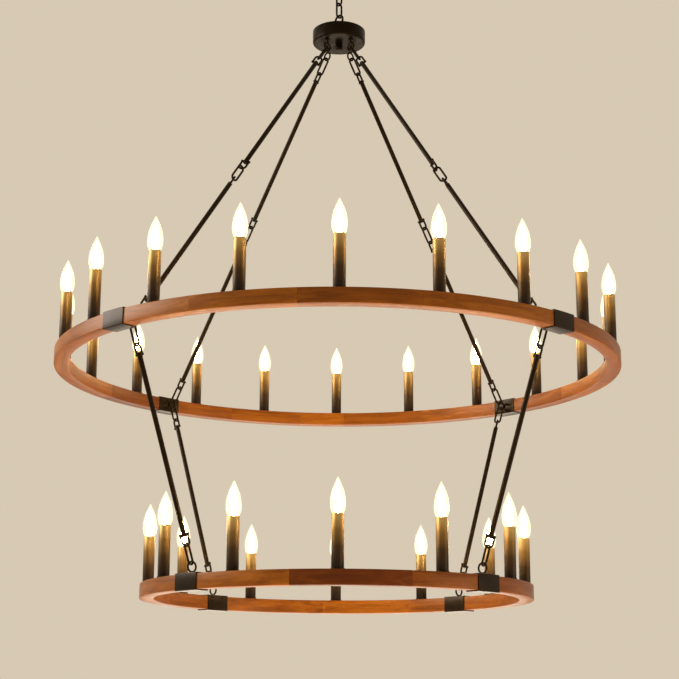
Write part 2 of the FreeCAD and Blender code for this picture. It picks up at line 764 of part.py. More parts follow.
def lamp_pieces(name, middle, middle_radius, lamps, seat):
    cup_top = "Sizes.cup_height"
    nut_top = "Sizes.cup_height + Sizes.nipple_nut_height"
    sleeve_top = "Sizes.cup_height + Sizes.sleeve_height"
    socket_top = f"{sleeve_top} - Sizes.socket_sink"
    cup_floor = f"{socket_top} - Sizes.socket_cup_height + Sizes.socket_floor"
    cup_base = f"{socket_top} - Sizes.socket_cup_height"

    repeated(f"{name}_candle_cups", seat, [
        ("Sizes.nipple_width / 2 + Sizes.fit", "0"),
        ("Sizes.cup_width / 2", "0"),
        ("Sizes.cup_width / 2", "Sizes.cup_height - Sizes.cup_edge"),
        ("Sizes.cup_width / 2 - Sizes.cup_edge", "Sizes.cup_height"),
        ("Sizes.nipple_width / 2 + Sizes.fit", "Sizes.cup_height"),
    ], middle, lamps)

    stems = new_body(f"{name}_lamp_stems", seat)
    stem = turned(stems, [
        ("Sizes.nipple_bore / 2", "-Sizes.nipple_depth"),
        ("Sizes.nipple_width / 2", "-Sizes.nipple_depth"),
        ("Sizes.nipple_width / 2", f"{nut_top} + Sizes.nipple_reach"),
        ("Sizes.nipple_bore / 2", f"{nut_top} + Sizes.nipple_reach"),
    ], across=middle)
    all_round(stems, stem, lamps)
    nut = raised(
        stems,
        polygon_corners(6, middle, "Sizes.nipple_nut_flats"),
        cup_top,
        "Sizes.nipple_nut_height",
        holes=[(middle, "0", "Sizes.nipple_width / 2 + Sizes.fit / 2")],
    )
    all_round(stems, nut, lamps)

    repeated(f"{name}_candle_sleeves", seat, [
        ("Sizes.sleeve_width / 2 - Sizes.sleeve_wall", cup_top),
        ("Sizes.sleeve_width / 2", cup_top),
        ("Sizes.sleeve_width / 2", sleeve_top),
        ("Sizes.sleeve_width / 2 - Sizes.sleeve_wall", sleeve_top),
    ], middle, lamps)

    repeated(f"{name}_lamp_sockets", seat, [
        ("Sizes.nipple_width / 2 + Sizes.fit / 2", nut_top),
        ("Sizes.socket_collar_width / 2", nut_top),
        ("Sizes.socket_collar_width / 2", f"{nut_top} + Sizes.socket_collar_height"),
        ("Sizes.socket_stem_width / 2", f"{nut_top} + Sizes.socket_collar_height + Sizes.socket_floor"),
        ("Sizes.socket_stem_width / 2", f"{cup_base} - Sizes.socket_floor"),
        ("Sizes.socket_width / 2", cup_base),
        ("Sizes.socket_width / 2", socket_top),
        ("Sizes.socket_bore / 2", socket_top),
        ("Sizes.socket_bore / 2", cup_floor),
        ("0", cup_floor),
        ("0", cup_base),
        ("Sizes.nipple_width / 2 + Sizes.fit / 2", f"{cup_base} - Sizes.socket_floor / 2"),
    ], middle, lamps)

    cap_bottom = f"{cup_floor} + Sizes.fit"
    cap_top = f"{cap_bottom} + Sizes.cap_height"
    repeated(f"{name}_bulb_caps", seat, [
        ("0", cap_bottom),
        ("Sizes.cap_width / 4", cap_bottom),
        ("Sizes.cap_width / 4", f"{cap_bottom} + Sizes.cap_tip_height"),
        ("Sizes.cap_width / 2", f"{cap_bottom} + Sizes.cap_shoulder_height"),
        ("Sizes.cap_width / 2", cap_top),
        ("Sizes.cap_width / 2 - Sizes.cap_wall", cap_top),
        ("Sizes.cap_width / 2 - Sizes.cap_wall",
         f"{cap_bottom} + Sizes.cap_shoulder_height + Sizes.cap_wall"),
        ("Sizes.cap_width / 4 - Sizes.cap_wall",
         f"{cap_bottom} + Sizes.cap_tip_height + Sizes.cap_wall"),
        ("0", f"{cap_bottom} + Sizes.cap_tip_height + Sizes.cap_wall"),
    ], middle, lamps)

    bulb_globes(name, middle_radius, worked_out(cap_top), worked_out(sleeve_top), lamps, seat)


def flame_curve(base, neck, width, tip, inset):
    """Half the outline of a flame-shaped globe, from its neck to its tip."""
    height = tip - base
    # height and half width as shares of the whole: shoulder, fullest place, and taper
    shares = [(0.0, None), (0.05, 0.66), (0.15, 0.88), (0.30, 1.0), (0.50, 0.92), (0.72, 0.62),
              (0.90, 0.25)]
    points = []
    for rise, share in shares:
        half = neck / 2 if share is None else width / 2 * share
        points.append(Vector(half - inset, 0, base + height * rise))
    points.append(Vector(0, 0, tip - inset))
    curve = Part.BSplineCurve()
    curve.interpolate(points)
    return curve.toShape(), points[0], points[-1]


def bulb_globes(name, middle_radius, cap_top, sleeve_top, lamps, seat):
    """Flame-shaped glass globes, each standing in its metal cap."""
    wall = size("bulb_wall")
    base = cap_top + size("fit") / 4
    tip = sleeve_top + size("bulb_height")
    outer, outer_foot, outer_tip = flame_curve(
        base, size("bulb_neck"), size("bulb_width"), tip, 0)
    inner, inner_foot, inner_tip = flame_curve(
        base, size("bulb_neck"), size("bulb_width"), tip, wall)
    foot = Part.LineSegment(inner_foot, outer_foot).toShape()
    point = Part.LineSegment(outer_tip, inner_tip).toShape()
    face = Part.Face(Part.Wire(Part.__sortEdges__([foot, outer, point, inner])))
    globe = face.revolve(Vector(0, 0, 0), Vector(0, 0, 1), 360)
    globe.translate(Vector(middle_radius, 0, 0))
    count = int(worked_out(lamps))
    copies = []
    for lamp in range(count):
        copy = globe.copy()
        copy.rotate(Vector(0, 0, 0), Vector(0, 0, 1), 360 * lamp / count)
        copies.append(copy)
    feature = doc.addObject("Part::Feature", f"{name}_bulb_globes")
    feature.Label = f"{name}_bulb_globes"
    feature.Shape = Part.makeCompound(copies)
    feature.Placement = seat
    finished.append(feature)


lamp_ring("upper_ring", "Sizes.upper_ring_width", "Sizes.upper_lamps", upper_ring_top, False)
lamp_ring("lower_ring", "Sizes.lower_ring_width", "Sizes.lower_lamps", lower_ring_top, True)

# ---------------------------------------------------------------- suspension lines

# Places in the upright plane of one line: X outwards from the middle, Z up.
upper_middle = (size("upper_ring_width") - size("rim_breadth")) / 2
lower_middle = (size("lower_ring_width") - size("rim_breadth")) / 2
clamp_side = size("rim_breadth") / 2 + size("fit") + size("clamp_wall")
hub_eye_centre = Vector(size("hub_eye_circle"), 0, hub_bottom + eye_middle)
upper_eye_centre = Vector(
    upper_middle - clamp_side - size("clamp_eye_width") / 2,
    0,
    upper_ring_top - size("rim_height") / 2,
)
lower_eye_centre = Vector(
    lower_middle,
    0,
    lower_ring_top + size("fit") + size("clamp_wall") + size("clamp_eye_width") / 2,
)
eye_radius = (size("eye_width") - size("eye_wire")) / 2
clamp_eye_radius = (size("clamp_eye_width") - size("eye_wire")) / 2
link_pitch = size("line_link_length") - size("line_wire")
hook = (size("eye_wire") + size("line_wire")) / 2 + size("line_play")
link_hook = size("line_wire") + size("line_play")
lower_hook = (size("eye_wire") + size("line_wire")) / 2 + size("lower_eye_play")

CORNERS = [
    ("back_right", 45),
    ("back_left", 135),
    ("front_left", 225),
    ("front_right", 315),
]

# How far links and bails stand turned about their line, in degrees. Nothing in the line holds
# them square, so each corner has its own turns, listed downwards. 0 is in the line's own plane.
SQUARE_LINE = {
    "upper_links": (90, 90, 90),
    "upper_rod": (0, 0),
    "middle_rod": (0, 0),
    "lower_links": (90, 90),
    "lower_rod": (0, 0),
}
LOOSE_TURNS = {
    "back_right": {**SQUARE_LINE, "upper_links": (96, 88, 94), "upper_rod": (12, -8),
                   "lower_links": (105, 84), "lower_rod": (45, -6)},
    "back_left": {**SQUARE_LINE, "upper_links": (86, 94, 92), "upper_rod": (-10, 6),
                  "middle_rod": (9, 5)},
    "front_left": {**SQUARE_LINE, "upper_links": (80, 4, 94), "upper_rod": (-35, -59),
                   "middle_rod": (67, 10), "lower_links": (92, 84), "lower_rod": (8, -12)},
    "front_right": {**SQUARE_LINE, "upper_links": (102, 35, 88), "upper_rod": (20, -35),
                    "middle_rod": (-75, -8), "lower_links": (84, 100), "lower_rod": (-10, 20)},
}


def placed_on_line(start, down, distance, turn):
    """The placement, at a distance down a line, whose own Z points up the line."""
    spot = start + down * distance
    lean = Rotation(Vector(0, 1, 0), math.degrees(math.atan2(-down.x, -down.z)))
    return Placement(Vector(0, 0, 0), about_z(turn)).multiply(Placement(spot, lean))


def bail(body, pin_level, beyond, turn):
    """A U of wire round a rod's end, closed by a pin through the rod. beyond is 1 above, -1 below."""
    first_side = f"{beyond} * (Sizes.bail_width - Sizes.line_wire) / 2"
    other_side = f"-({first_side})"
    pin = f"({pin_level})"
    bow = f"{pin} + {beyond} * (Sizes.bail_reach - Sizes.bail_width / 2)"
    path = sketch_on(body, "XZ_Plane")
    path.AttachmentOffset = Placement(Vector(0, 0, 0), Rotation(Vector(0, 1, 0), turn))
    reach = worked_out(first_side)
    near = worked_out(pin)
    far = worked_out(bow)
    half_turn = 0 if beyond > 0 else math.pi
    path.addGeometry(Part.LineSegment(Vector(reach, near, 0), Vector(reach, far, 0)))
    path.addGeometry(Part.ArcOfCircle(
        Part.Circle(Vector(0, far, 0), Vector(0, 0, 1), abs(reach)), half_turn,
        half_turn + math.pi))
    path.addGeometry(Part.LineSegment(Vector(-reach, far, 0), Vector(-reach, near, 0)))
    for piece in range(2):
        path.addConstraint(Sketcher.Constraint("Coincident", piece, 2, piece + 1, 1))
    fix_point(path, 0, 1, first_side, pin)
    fix_point(path, 0, 2, first_side, bow)
    fix_point(path, 2, 1, other_side, bow)
    fix_point(path, 2, 2, other_side, pin)
    rule = path.addConstraint(Sketcher.Constraint("DistanceY", -1, 1, 1, 3, far))
    path.setExpression(f"Constraints[{rule}]", bow)

    section = body.newObject("Sketcher::SketchObject", body.Name + "_section")
    section.AttachmentSupport = (origin_feature(body, "XY_Plane"), [""])
    section.MapMode = "FlatFace"
    section.setExpression("AttachmentOffset.Base.z", pin)
    circle_at(section, f"{first_side} * cos({turn} deg)", f"{first_side} * sin({turn} deg)",
              "Sizes.line_wire / 2")
    wire = body.newObject("PartDesign::AdditivePipe", body.Name + "_bail")
    wire.Profile = section
    wire.Spine = (path, [])
    crosswise = about_z(turn).multiply(Rotation(Vector(0, 1, 0), 90))
    pin_start = about_z(turn).multVec(Vector(-size("pin_length") / 2, 0, 0))
    round_bar(body, "Sizes.pin_width / 2", "Sizes.pin_length",
              Placement(pin_start + Vector(0, 0, near), crosswise))


def rod_with_bails(label, place, pitch, turns):
    """A round rod with a bail at each end; pitch is between the bails' bows."""
    body = new_body(label, place)
    whole = pitch + size("line_wire")
    pin_level = whole / 2 - size("bail_reach")
    half = pin_level + size("rod_beyond_pin")
    round_bar(
        body,
        "Sizes.rod_width / 2",
        f"{2 * half}",
        Placement(Vector(0, 0, -half), Rotation()),
    )
    for beyond, turn in zip((1, -1), turns):
        bail(body, f"{beyond * pin_level}", beyond, turn)


def links_on_line(label, places, turns):
    """The loose links of one line, as separate closed loops, each turned about the line."""
    links = []
    for place, turn in zip(places, turns):
        link = doc.addObject("PartDesign::Body", label + "_one")
        wire_loop(link, "XZ_Plane", "0", "Sizes.line_link_length", "Sizes.line_link_width",
                  "Sizes.line_wire")
        link.Placement = place.multiply(Placement(Vector(0, 0, 0), about_z(turn)))
        links.append(link)
    group = doc.addObject("Part::Compound", label)
    group.Label = label
    group.Links = links
    finished.append(group)


def upper_line(corner, turn):
    down = upper_eye_centre - hub_eye_centre
    down.normalize()
    start = hub_eye_centre + down * eye_radius
    span = (upper_eye_centre - down * clamp_eye_radius - start).Length
    rod_pitch = (span + 2 * hook + 4 * link_hook - 3 * link_pitch) / 2
    bar = -hook
    link_places = []
    rod_places = []
    for piece in range(5):
        pitch = link_pitch if piece % 2 == 0 else rod_pitch
        place = placed_on_line(start, down, bar + pitch / 2, turn)
        if piece % 2 == 0:
            link_places.append(place)
        else:
            rod_places.append(place)
        bar += pitch - link_hook
    turns = LOOSE_TURNS[corner]
    rod_with_bails(f"{corner}_upper_rod", rod_places[0], rod_pitch, turns["upper_rod"])
    rod_with_bails(f"{corner}_middle_rod", rod_places[1], rod_pitch, turns["middle_rod"])
    links_on_line(f"{corner}_upper_links", link_places, turns["upper_links"])
    return rod_pitch


def lower_line(corner, turn):
    down = lower_eye_centre - upper_eye_centre
    down.normalize()
    start = upper_eye_centre + down * clamp_eye_radius
    span = (lower_eye_centre - down * clamp_eye_radius - start).Length
    rod_pitch = span + hook + lower_hook + 2 * link_hook - 2 * link_pitch
    first = -hook
    rod_bar = first + link_pitch - link_hook
    last = rod_bar + rod_pitch - link_hook
    turns = LOOSE_TURNS[corner]
    rod_with_bails(
        f"{corner}_lower_rod",
        placed_on_line(start, down, rod_bar + rod_pitch / 2, turn),
        rod_pitch,
        turns["lower_rod"],
    )
    links_on_line(
        f"{corner}_lower_links",
        [
            placed_on_line(start, down, first + link_pitch / 2, turn),
            placed_on_line(start, down, last + link_pitch / 2, turn),
        ],
        turns["lower_links"],
    )
    return rod_pitch


for corner, turn in CORNERS:
    upper_pitch = upper_line(corner, turn)
    lower_pitch = lower_line(corner, turn)

# ---------------------------------------------------------------- build and write

doc.recompute()
for item in doc.Objects:
    bad = [state for state in item.State if state in ("Invalid", "Error")]
    if bad:
        raise RuntimeError(f"{item.Name} failed: {bad}")

os.makedirs("parts", exist_ok=True)
for piece in finished:
    shape = piece.Shape
    if shape.isNull() or not shape.isValid():
        raise RuntimeError(f"{piece.Label} has no valid shape")
    shape.exportStep(f"parts/{piece.Label}.step")

print("nodes", len(finished))
print("upper rod, bow to bow", round(upper_pitch, 2))
print("lower rod, bow to bow", round(lower_pitch, 2))
print("hub bottom", round(hub_bottom, 2), "upper rim top", round(upper_ring_top, 2))
print("lower rim top", round(lower_ring_top, 2), "hub loop wire", round(hub_loop_wire, 2))
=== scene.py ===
# %% [markdown]
# # A two-tier wagon wheel chandelier
#
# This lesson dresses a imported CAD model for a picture. The CAD model is the fixed frame: it
# says where every piece is, how large it is and how it moves. Blender gives each piece the form
# and the finish that the eye sees. Each step below first says what the piece is on the real
# chandelier, how it could be made, and why this way was chosen.

# %% Load the fixed frame
import json
import math

import bpy
from mathutils import Matrix, Vector


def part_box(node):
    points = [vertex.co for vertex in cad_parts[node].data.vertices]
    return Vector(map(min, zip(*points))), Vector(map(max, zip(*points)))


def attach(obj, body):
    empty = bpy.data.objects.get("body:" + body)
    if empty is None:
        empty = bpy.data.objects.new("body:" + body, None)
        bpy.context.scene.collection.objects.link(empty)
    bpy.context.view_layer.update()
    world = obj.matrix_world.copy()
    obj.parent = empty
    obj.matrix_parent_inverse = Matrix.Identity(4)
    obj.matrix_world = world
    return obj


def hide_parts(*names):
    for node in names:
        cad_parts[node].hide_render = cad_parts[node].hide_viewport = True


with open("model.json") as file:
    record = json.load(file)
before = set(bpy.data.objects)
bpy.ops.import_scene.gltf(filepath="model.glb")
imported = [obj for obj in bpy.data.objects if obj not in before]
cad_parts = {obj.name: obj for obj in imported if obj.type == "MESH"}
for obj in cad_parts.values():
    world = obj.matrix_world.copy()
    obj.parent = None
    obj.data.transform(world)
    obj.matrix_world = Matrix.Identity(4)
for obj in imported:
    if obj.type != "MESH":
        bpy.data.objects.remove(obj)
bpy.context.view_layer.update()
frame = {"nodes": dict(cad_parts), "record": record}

nodes = frame["nodes"]
print("CAD nodes:", len(nodes))

# %% [markdown]
# ## The camera
#
# The picture is taken from below and in front, with a long lens. The camera's place was fitted
# to the feet of the candles and then raised by 4.5 mm to bring the rims into line, so it is
# written here as numbers. It is turned round the upright axis first, then yawed, pitched up and
# rolled.

# %% Camera
PICTURE_WIDTH = 679
LENS_IN_PIXELS = 1545.8
SENSOR_WIDTH = 36
FARTHEST_SEEN = 60
CAMERA_PLACE = (0.0, -3.2918, -1.7565)
CAMERA_PITCH = math.radians(13.78)
CAMERA_YAW = math.radians(-0.069)
CAMERA_ROLL = math.radians(0.231)
CAMERA_ROUND_AXIS = math.radians(-0.25)

camera_data = bpy.data.cameras.new("camera")
camera_data.sensor_width = SENSOR_WIDTH
camera_data.lens = SENSOR_WIDTH * (LENS_IN_PIXELS / PICTURE_WIDTH)
camera_data.clip_end = FARTHEST_SEEN
camera = bpy.data.objects.new("camera", camera_data)
bpy.context.scene.collection.objects.link(camera)
camera.matrix_world = (
    Matrix.Rotation(CAMERA_ROUND_AXIS, 4, "Z")
    @ Matrix.Translation(CAMERA_PLACE)
    @ Matrix.Rotation(CAMERA_YAW, 4, "Z")
    @ Matrix.Rotation(math.pi / 2 + CAMERA_PITCH, 4, "X")
    @ Matrix.Rotation(CAMERA_ROLL, 4, "Z")
)
bpy.context.scene.camera = camera
bpy.context.scene.view_settings.view_transform = "Standard"
print("lens", round(camera_data.lens, 2), "mm")

# %% [markdown]
# ## Light, backdrop and floor
#
# A plain studio: a world that lights the object softly, and four wide lamps that give the
# metal its long highlights. The camera, and anything glossy or clear, sees the world in a pale
# warm tan instead, so that the lit bulbs stand out from it. The floor is far below, because a
# chandelier of this size hangs high.

# %% World
BACKDROP_COLOUR = (0.68, 0.585, 0.45, 1)
SOFT_LIGHT_COLOUR = (1.0, 0.88, 0.74, 1)
SOFT_LIGHT = 0.36


def seen_only(tree):
    """1 for the rays that show a surface: to the camera, in gloss and through glass."""
    ray = tree.nodes.new("ShaderNodeLightPath")
    seen = ray.outputs["Is Camera Ray"]
    for way in ("Is Glossy Ray", "Is Transmission Ray"):
        either = tree.nodes.new("ShaderNodeMath")
        either.operation = "MAXIMUM"
        tree.links.new(seen, either.inputs[0])
        tree.links.new(ray.outputs[way], either.inputs[1])
        seen = either.outputs[0]
    return seen


world = bpy.data.worlds.new("studio")
bpy.context.scene.world = world
world.use_nodes = True
sky = world.node_tree.nodes
sky_links = world.node_tree.links
sky.clear()
soft_light = sky.new("ShaderNodeBackground")
soft_light.inputs["Color"].default_value = SOFT_LIGHT_COLOUR
soft_light.inputs["Strength"].default_value = SOFT_LIGHT
backdrop = sky.new("ShaderNodeBackground")
backdrop.inputs["Color"].default_value = BACKDROP_COLOUR
world_mix = sky.new("ShaderNodeMixShader")
sky_links.new(seen_only(world.node_tree), world_mix.inputs["Fac"])
sky_links.new(soft_light.outputs[0], world_mix.inputs[1])
sky_links.new(backdrop.outputs[0], world_mix.inputs[2])
world_out = sky.new("ShaderNodeOutputWorld")
sky_links.new(world_mix.outputs[0], world_out.inputs["Surface"])
print("soft light from all sides", SOFT_LIGHT)


# %% Studio lamps
def studio_lamp(name, place, aim, size, power, colour):
    """A lamp of a given width and height at a place, turned towards a point."""
    data = bpy.data.lights.new(name, "AREA")
    data.shape = "RECTANGLE"
    data.size, data.size_y = size
    data.energy = power
    data.color = colour
    lamp = bpy.data.objects.new(name, data)
    bpy.context.scene.collection.objects.link(lamp)
    lamp.location = place
    lamp.rotation_euler = (Vector(aim) - Vector(place)).to_track_quat("-Z", "Y").to_euler()


LAMP_AIM = (0, 0, -1.1)
STUDIO_LAMPS = (
    ("cool_left", (-3.4, -0.3, 0.15), (2.6, 1.5), 112, (0.98, 0.96, 0.95)),
    ("warm_right", (3.1, -1.3, -1.9), (1.5, 2.0), 27, (1.0, 0.88, 0.74)),
    ("warm_below", (0.2, -0.4, -2.95), (1.6, 2.6), 44, (1.0, 0.80, 0.60)),
    ("low_back", (0.0, 3.4, -2.25), (1.7, 0.7), 14, (1.0, 0.84, 0.66)),
)
for name, place, size, power, colour in STUDIO_LAMPS:
    studio_lamp(name, place, LAMP_AIM, size, power, colour)
print("studio lamps:", len(STUDIO_LAMPS))

# %% Floor
FLOOR_LEVEL = -5.0
FLOOR_WIDTH = 80
bpy.ops.mesh.primitive_plane_add(size=FLOOR_WIDTH, location=(0, 0, FLOOR_LEVEL))
floor = bpy.context.object
floor.name = "studio_floor"
print("floor at", FLOOR_LEVEL, "m")

# %% [markdown]
# ## Finishes
#
# A finish is a node tree on one Principled shader. The small tools here keep each tree short:
# one makes the material, one adds noise read in a chosen direction, one turns noise into
# colours, and one turns noise into fine relief. Values that are the same all over are set on
# the shader's own sockets. Depths of relief are in metres.


# %% A material and its nodes
def new_finish(name, **values):
    """A material with one Principled shader, and the shader's plain values."""
    finish = bpy.data.materials.new(name)
    finish.use_nodes = True
    shader = finish.node_tree.nodes["Principled BSDF"]
    for socket, value in values.items():
        shader.inputs[socket.replace("_", " ")].default_value = value
    return finish, shader


def add_node(finish, kind, **settings):
    """A new node in the finish's tree."""
    node = finish.node_tree.nodes.new(kind)
    for name, value in settings.items():
        setattr(node, name, value)
    return node


def join(finish, start, end):
    """Links one node's output to another's input."""
    finish.node_tree.links.new(start, end)


def object_place(finish):
    """The point on the object, in metres, that patterns are read at."""
    return add_node(finish, "ShaderNodeTexCoord").outputs["Object"]


# %% Noise and colours
def noise(finish, place, stretch, detail=4.0, roughness=0.55, distortion=0.0):
    """Noise whose grains per metre are given for each direction."""
    mapping = add_node(finish, "ShaderNodeMapping")
    mapping.inputs["Scale"].default_value = stretch
    join(finish, place, mapping.inputs["Vector"])
    texture = add_node(finish, "ShaderNodeTexNoise")
    texture.inputs["Scale"].default_value = 1.0
    texture.inputs["Detail"].default_value = detail
    texture.inputs["Roughness"].default_value = roughness
    texture.inputs["Distortion"].default_value = distortion
    join(finish, mapping.outputs[0], texture.inputs["Vector"])
    return texture.outputs["Fac"]


def colours(finish, factor, *stops):
    """A colour ramp. Each stop is a place from 0 to 1 and a colour."""
    ramp = add_node(finish, "ShaderNodeValToRGB")
    elements = ramp.color_ramp.elements
    while len(elements) < len(stops):
        elements.new(0.5)
    for element, (place, colour) in zip(elements, stops):
        element.position = place
        element.color = (*colour, 1)
    join(finish, factor, ramp.inputs["Fac"])
    return ramp.outputs["Color"]


def between(finish, factor, low, high, start=0.0, end=1.0):
    """Rescales a factor to a range of plain numbers."""
    scale = add_node(finish, "ShaderNodeMapRange")
    scale.inputs["From Min"].default_value = start
    scale.inputs["From Max"].default_value = end
    scale.inputs["To Min"].default_value = low
    scale.inputs["To Max"].default_value = high
    join(finish, factor, scale.inputs["Value"])
    return scale.outputs["Result"]


def blended(finish, first, second, factor, way="MIX"):
    """Two colours mixed in a given way. The second and the factor may be plain values."""
    mix = add_node(finish, "ShaderNodeMix", data_type="RGBA", blend_type=way)
    join(finish, first, mix.inputs["A"])
    for socket, value in (("B", second), ("Factor", factor)):
        if isinstance(value, (int, float, tuple)):
            mix.inputs[socket].default_value = value
        else:
            join(finish, value, mix.inputs[socket])
    return mix.outputs["Result"]


# %% Relief
def relief(finish, shader, height, depth, strength=1.0, after=None):
    """Turns a factor into relief of a given depth in metres, over earlier relief if any."""
    bump = add_node(finish, "ShaderNodeBump")
    bump.inputs["Distance"].default_value = depth
    bump.inputs["Strength"].default_value = strength
    join(finish, height, bump.inputs["Height"])
    if after is not None:
        join(finish, after, bump.inputs["Normal"])
    join(finish, bump.outputs["Normal"], shader.inputs["Normal"])
    return bump.outputs["Normal"]


# %% [markdown]
# ### Black painted steel
#
# The hub, rods, links, eyes and clamps are steel under satin black paint with a trace of brown.
# Sprayed paint has a faint skin like orange peel and is a little uneven in gloss, so slow noise
# moves the colour and the roughness, and fine noise gives the skin. The hub's copy of the paint
# is darker and the least glossy, and its darker colour is painted shade. The clamps' copy is the
# smoothest and a touch lighter, and its lighter colour is painted light.


# %% Black steel
PAINT_SKIN_DEPTH = 0.00005
BROWN_GLOSS = (1.0, 0.66, 0.38, 1)


def black_steel(name, dark, worn, gloss, gloss_low, gloss_high):
    """Satin paint over steel, with slow patches and a fine skin."""
    finish, shader = new_finish(name, Specular_IOR_Level=gloss, Specular_Tint=BROWN_GLOSS)
    place = object_place(finish)
    patches = noise(finish, place, (18, 18, 18), detail=5)
    join(finish, colours(finish, patches, (0.35, dark), (0.75, worn)), shader.inputs["Base Color"])
    rubbed = noise(finish, place, (60, 60, 60), detail=3)
    join(finish, between(finish, rubbed, gloss_low, gloss_high, 0.3, 0.7),
         shader.inputs["Roughness"])
    skin = noise(finish, place, (700, 700, 700), detail=2)
    relief(finish, shader, skin, PAINT_SKIN_DEPTH)
    return finish


painted_steel = black_steel(
    "satin_black_steel", (0.0075, 0.0045, 0.0016), (0.017, 0.010, 0.004), 0.11, 0.28, 0.42)
# The clamps' copy is a touch lighter than the rest of the paint: painted light on the clamps.
clamp_steel_painted_light = black_steel(
    "clamp_black_steel_painted_light", (0.008, 0.0048, 0.002), (0.019, 0.0115, 0.005), 0.17, 0.26, 0.31)
# The hub's copy is darker than the rest of the paint: painted shade on the hub.
hub_steel_painted_shade = black_steel(
    "hub_black_steel_painted_shade", (0.0048, 0.0029, 0.0011), (0.0105, 0.0062, 0.0025), 0.07, 0.28, 0.42)
print("black paints:", painted_steel.name, clamp_steel_painted_light.name, hub_steel_painted_shade.name)

# %% [markdown]
# ### Bronzed tube
#
# The candle sleeves are thin drawn tube in lacquered dark bronze. Under the clear lacquer the
# metal is dark. The golden colour towards the top is painted light: it stands in for the glow
# of the lit bulb on the tube. A picture painted on the tube could hold that, but an attribute is
# simpler: `up_the_sleeve` runs from 0 at the foot to 1 at the top, and a ramp turns it into
# colour. Drawing leaves fine streaks along the tube, so their noise is stretched along Z.


# %% Bronzed tube
STREAK_DEPTH = 0.00002

bronze_tube, bronze_shader = new_finish(
    "dark_bronze_tube_painted_glow", Metallic=0.6, Specular_IOR_Level=0.2, Coat_Weight=0.10,
    Coat_Roughness=0.3)
tube_place = object_place(bronze_tube)
streaks = noise(bronze_tube, tube_place, (420, 420, 4), detail=3)
up_the_sleeve = add_node(
    bronze_tube, "ShaderNodeAttribute", attribute_name="up_the_sleeve").outputs["Fac"]
# Painted light: the bronze turns golden towards the top of the tube, standing in for the lit bulb's
# glow on it.
bronze_and_painted_bulb_glow = colours(
    bronze_tube, up_the_sleeve, (0.05, (0.019, 0.0095, 0.003)), (0.38, (0.056, 0.028, 0.007)),
    (0.70, (0.23, 0.128, 0.032)), (1.0, (0.62, 0.41, 0.14)))
streak_shade = colours(
    bronze_tube, streaks, (0.30, (0.86, 0.84, 0.82)), (0.70, (1.0, 1.0, 1.0)))
join(bronze_tube, blended(bronze_tube, bronze_and_painted_bulb_glow, streak_shade, 1.0, "MULTIPLY"),
     bronze_shader.inputs["Base Color"])
join(bronze_tube, between(bronze_tube, streaks, 0.38, 0.48, 0.3, 0.7),
     bronze_shader.inputs["Roughness"])
relief(bronze_tube, bronze_shader, streaks, STREAK_DEPTH)
print("tube finish:", bronze_tube.name)

# %% [markdown]
# ### Lacquered wood
#
# Each rim is glued up from short blocks, and each block has its own tone and its own grain. A
# pattern on the whole rim would run straight through the seams. So each block stores two
# attributes: `grain_place`, the point in the block's own straight frame, and
# `block_tone_and_painted_light`, one brightness for the whole block that is partly the wood's
# own tone and partly painted light and shade. The grain is noise that is slow along the block
# and fast across it, the pores are finer still, and the lacquer adds a thin clear coat.


# %% Lacquered wood
FIGURE_DEPTH = 0.00010
PORE_DEPTH = 0.00008


def lacquered_wood(name, dark, mid, light):
    """Straight-grained wood in blocks, under satin lacquer."""
    finish, shader = new_finish(
        name, Specular_IOR_Level=0.30, Specular_Tint=(1.0, 0.72, 0.42, 1), Coat_Weight=0.07,
        Coat_Roughness=0.24)
    grain_place = add_node(
        finish, "ShaderNodeAttribute", attribute_name="grain_place").outputs["Vector"]
    tone = add_node(finish, "ShaderNodeAttribute", attribute_name="block_tone_and_painted_light").outputs["Fac"]
    figure = noise(finish, grain_place, (5, 95, 95), detail=6, roughness=0.6, distortion=0.6)
    clouds = noise(finish, grain_place, (14, 40, 40), detail=3)
    pores = noise(finish, grain_place, (60, 900, 900), detail=2)
    wood = colours(finish, figure, (0.28, dark), (0.52, mid), (0.78, light))
    cloudy = colours(finish, clouds, (0.30, (0.74, 0.70, 0.66)), (0.65, (1.0, 1.0, 1.0)))
    wood = blended(finish, wood, cloudy, 0.75, "MULTIPLY")
    pored = colours(finish, pores, (0.30, (0.55, 0.50, 0.46)), (0.46, (1.0, 1.0, 1.0)))
    wood = blended(finish, wood, pored, 0.55, "MULTIPLY")
    # The block's tone: partly the wood's own, partly painted light and shade on that stretch of
    # rim.
    toned = colours(
        finish, tone, (0.0, (0.45, 0.30, 0.20)), (1.0, (1.14, 1.14, 1.14)))
    wood = blended(finish, wood, toned, 1.0, "MULTIPLY")
    join(finish, wood, shader.inputs["Base Color"])
    join(finish, between(finish, clouds, 0.36, 0.50, 0.3, 0.7), shader.inputs["Roughness"])
    skin = relief(finish, shader, figure, FIGURE_DEPTH, 0.7)
    relief(finish, shader, pores, PORE_DEPTH, 0.6, after=skin)
    return finish


rim_wood = lacquered_wood(
    "lacquered_rim_wood", (0.205, 0.052, 0.002), (0.345, 0.098, 0.004), (0.50, 0.172, 0.012))
print("wood finish:", rim_wood.name)

# %% [markdown]
# The strip that closes the wiring groove is plain unlacquered wood, thin and seen only from
# above. It could store its own grain as the blocks do, but at its size a plain figure on Object
# coordinates serves.

# %% Strip wood
strip_wood, strip_shader = new_finish("plain_strip_wood", Roughness=0.62)
strip_place = object_place(strip_wood)
strip_figure = noise(strip_wood, strip_place, (30, 30, 140), detail=5)
strip_colour = colours(
    strip_wood, strip_figure, (0.3, (0.17, 0.060, 0.018)), (0.7, (0.34, 0.14, 0.045)))
join(strip_wood, strip_colour, strip_shader.inputs["Base Color"])
relief(strip_wood, strip_shader, strip_figure, FIGURE_DEPTH)
print("strip finish:", strip_wood.name)

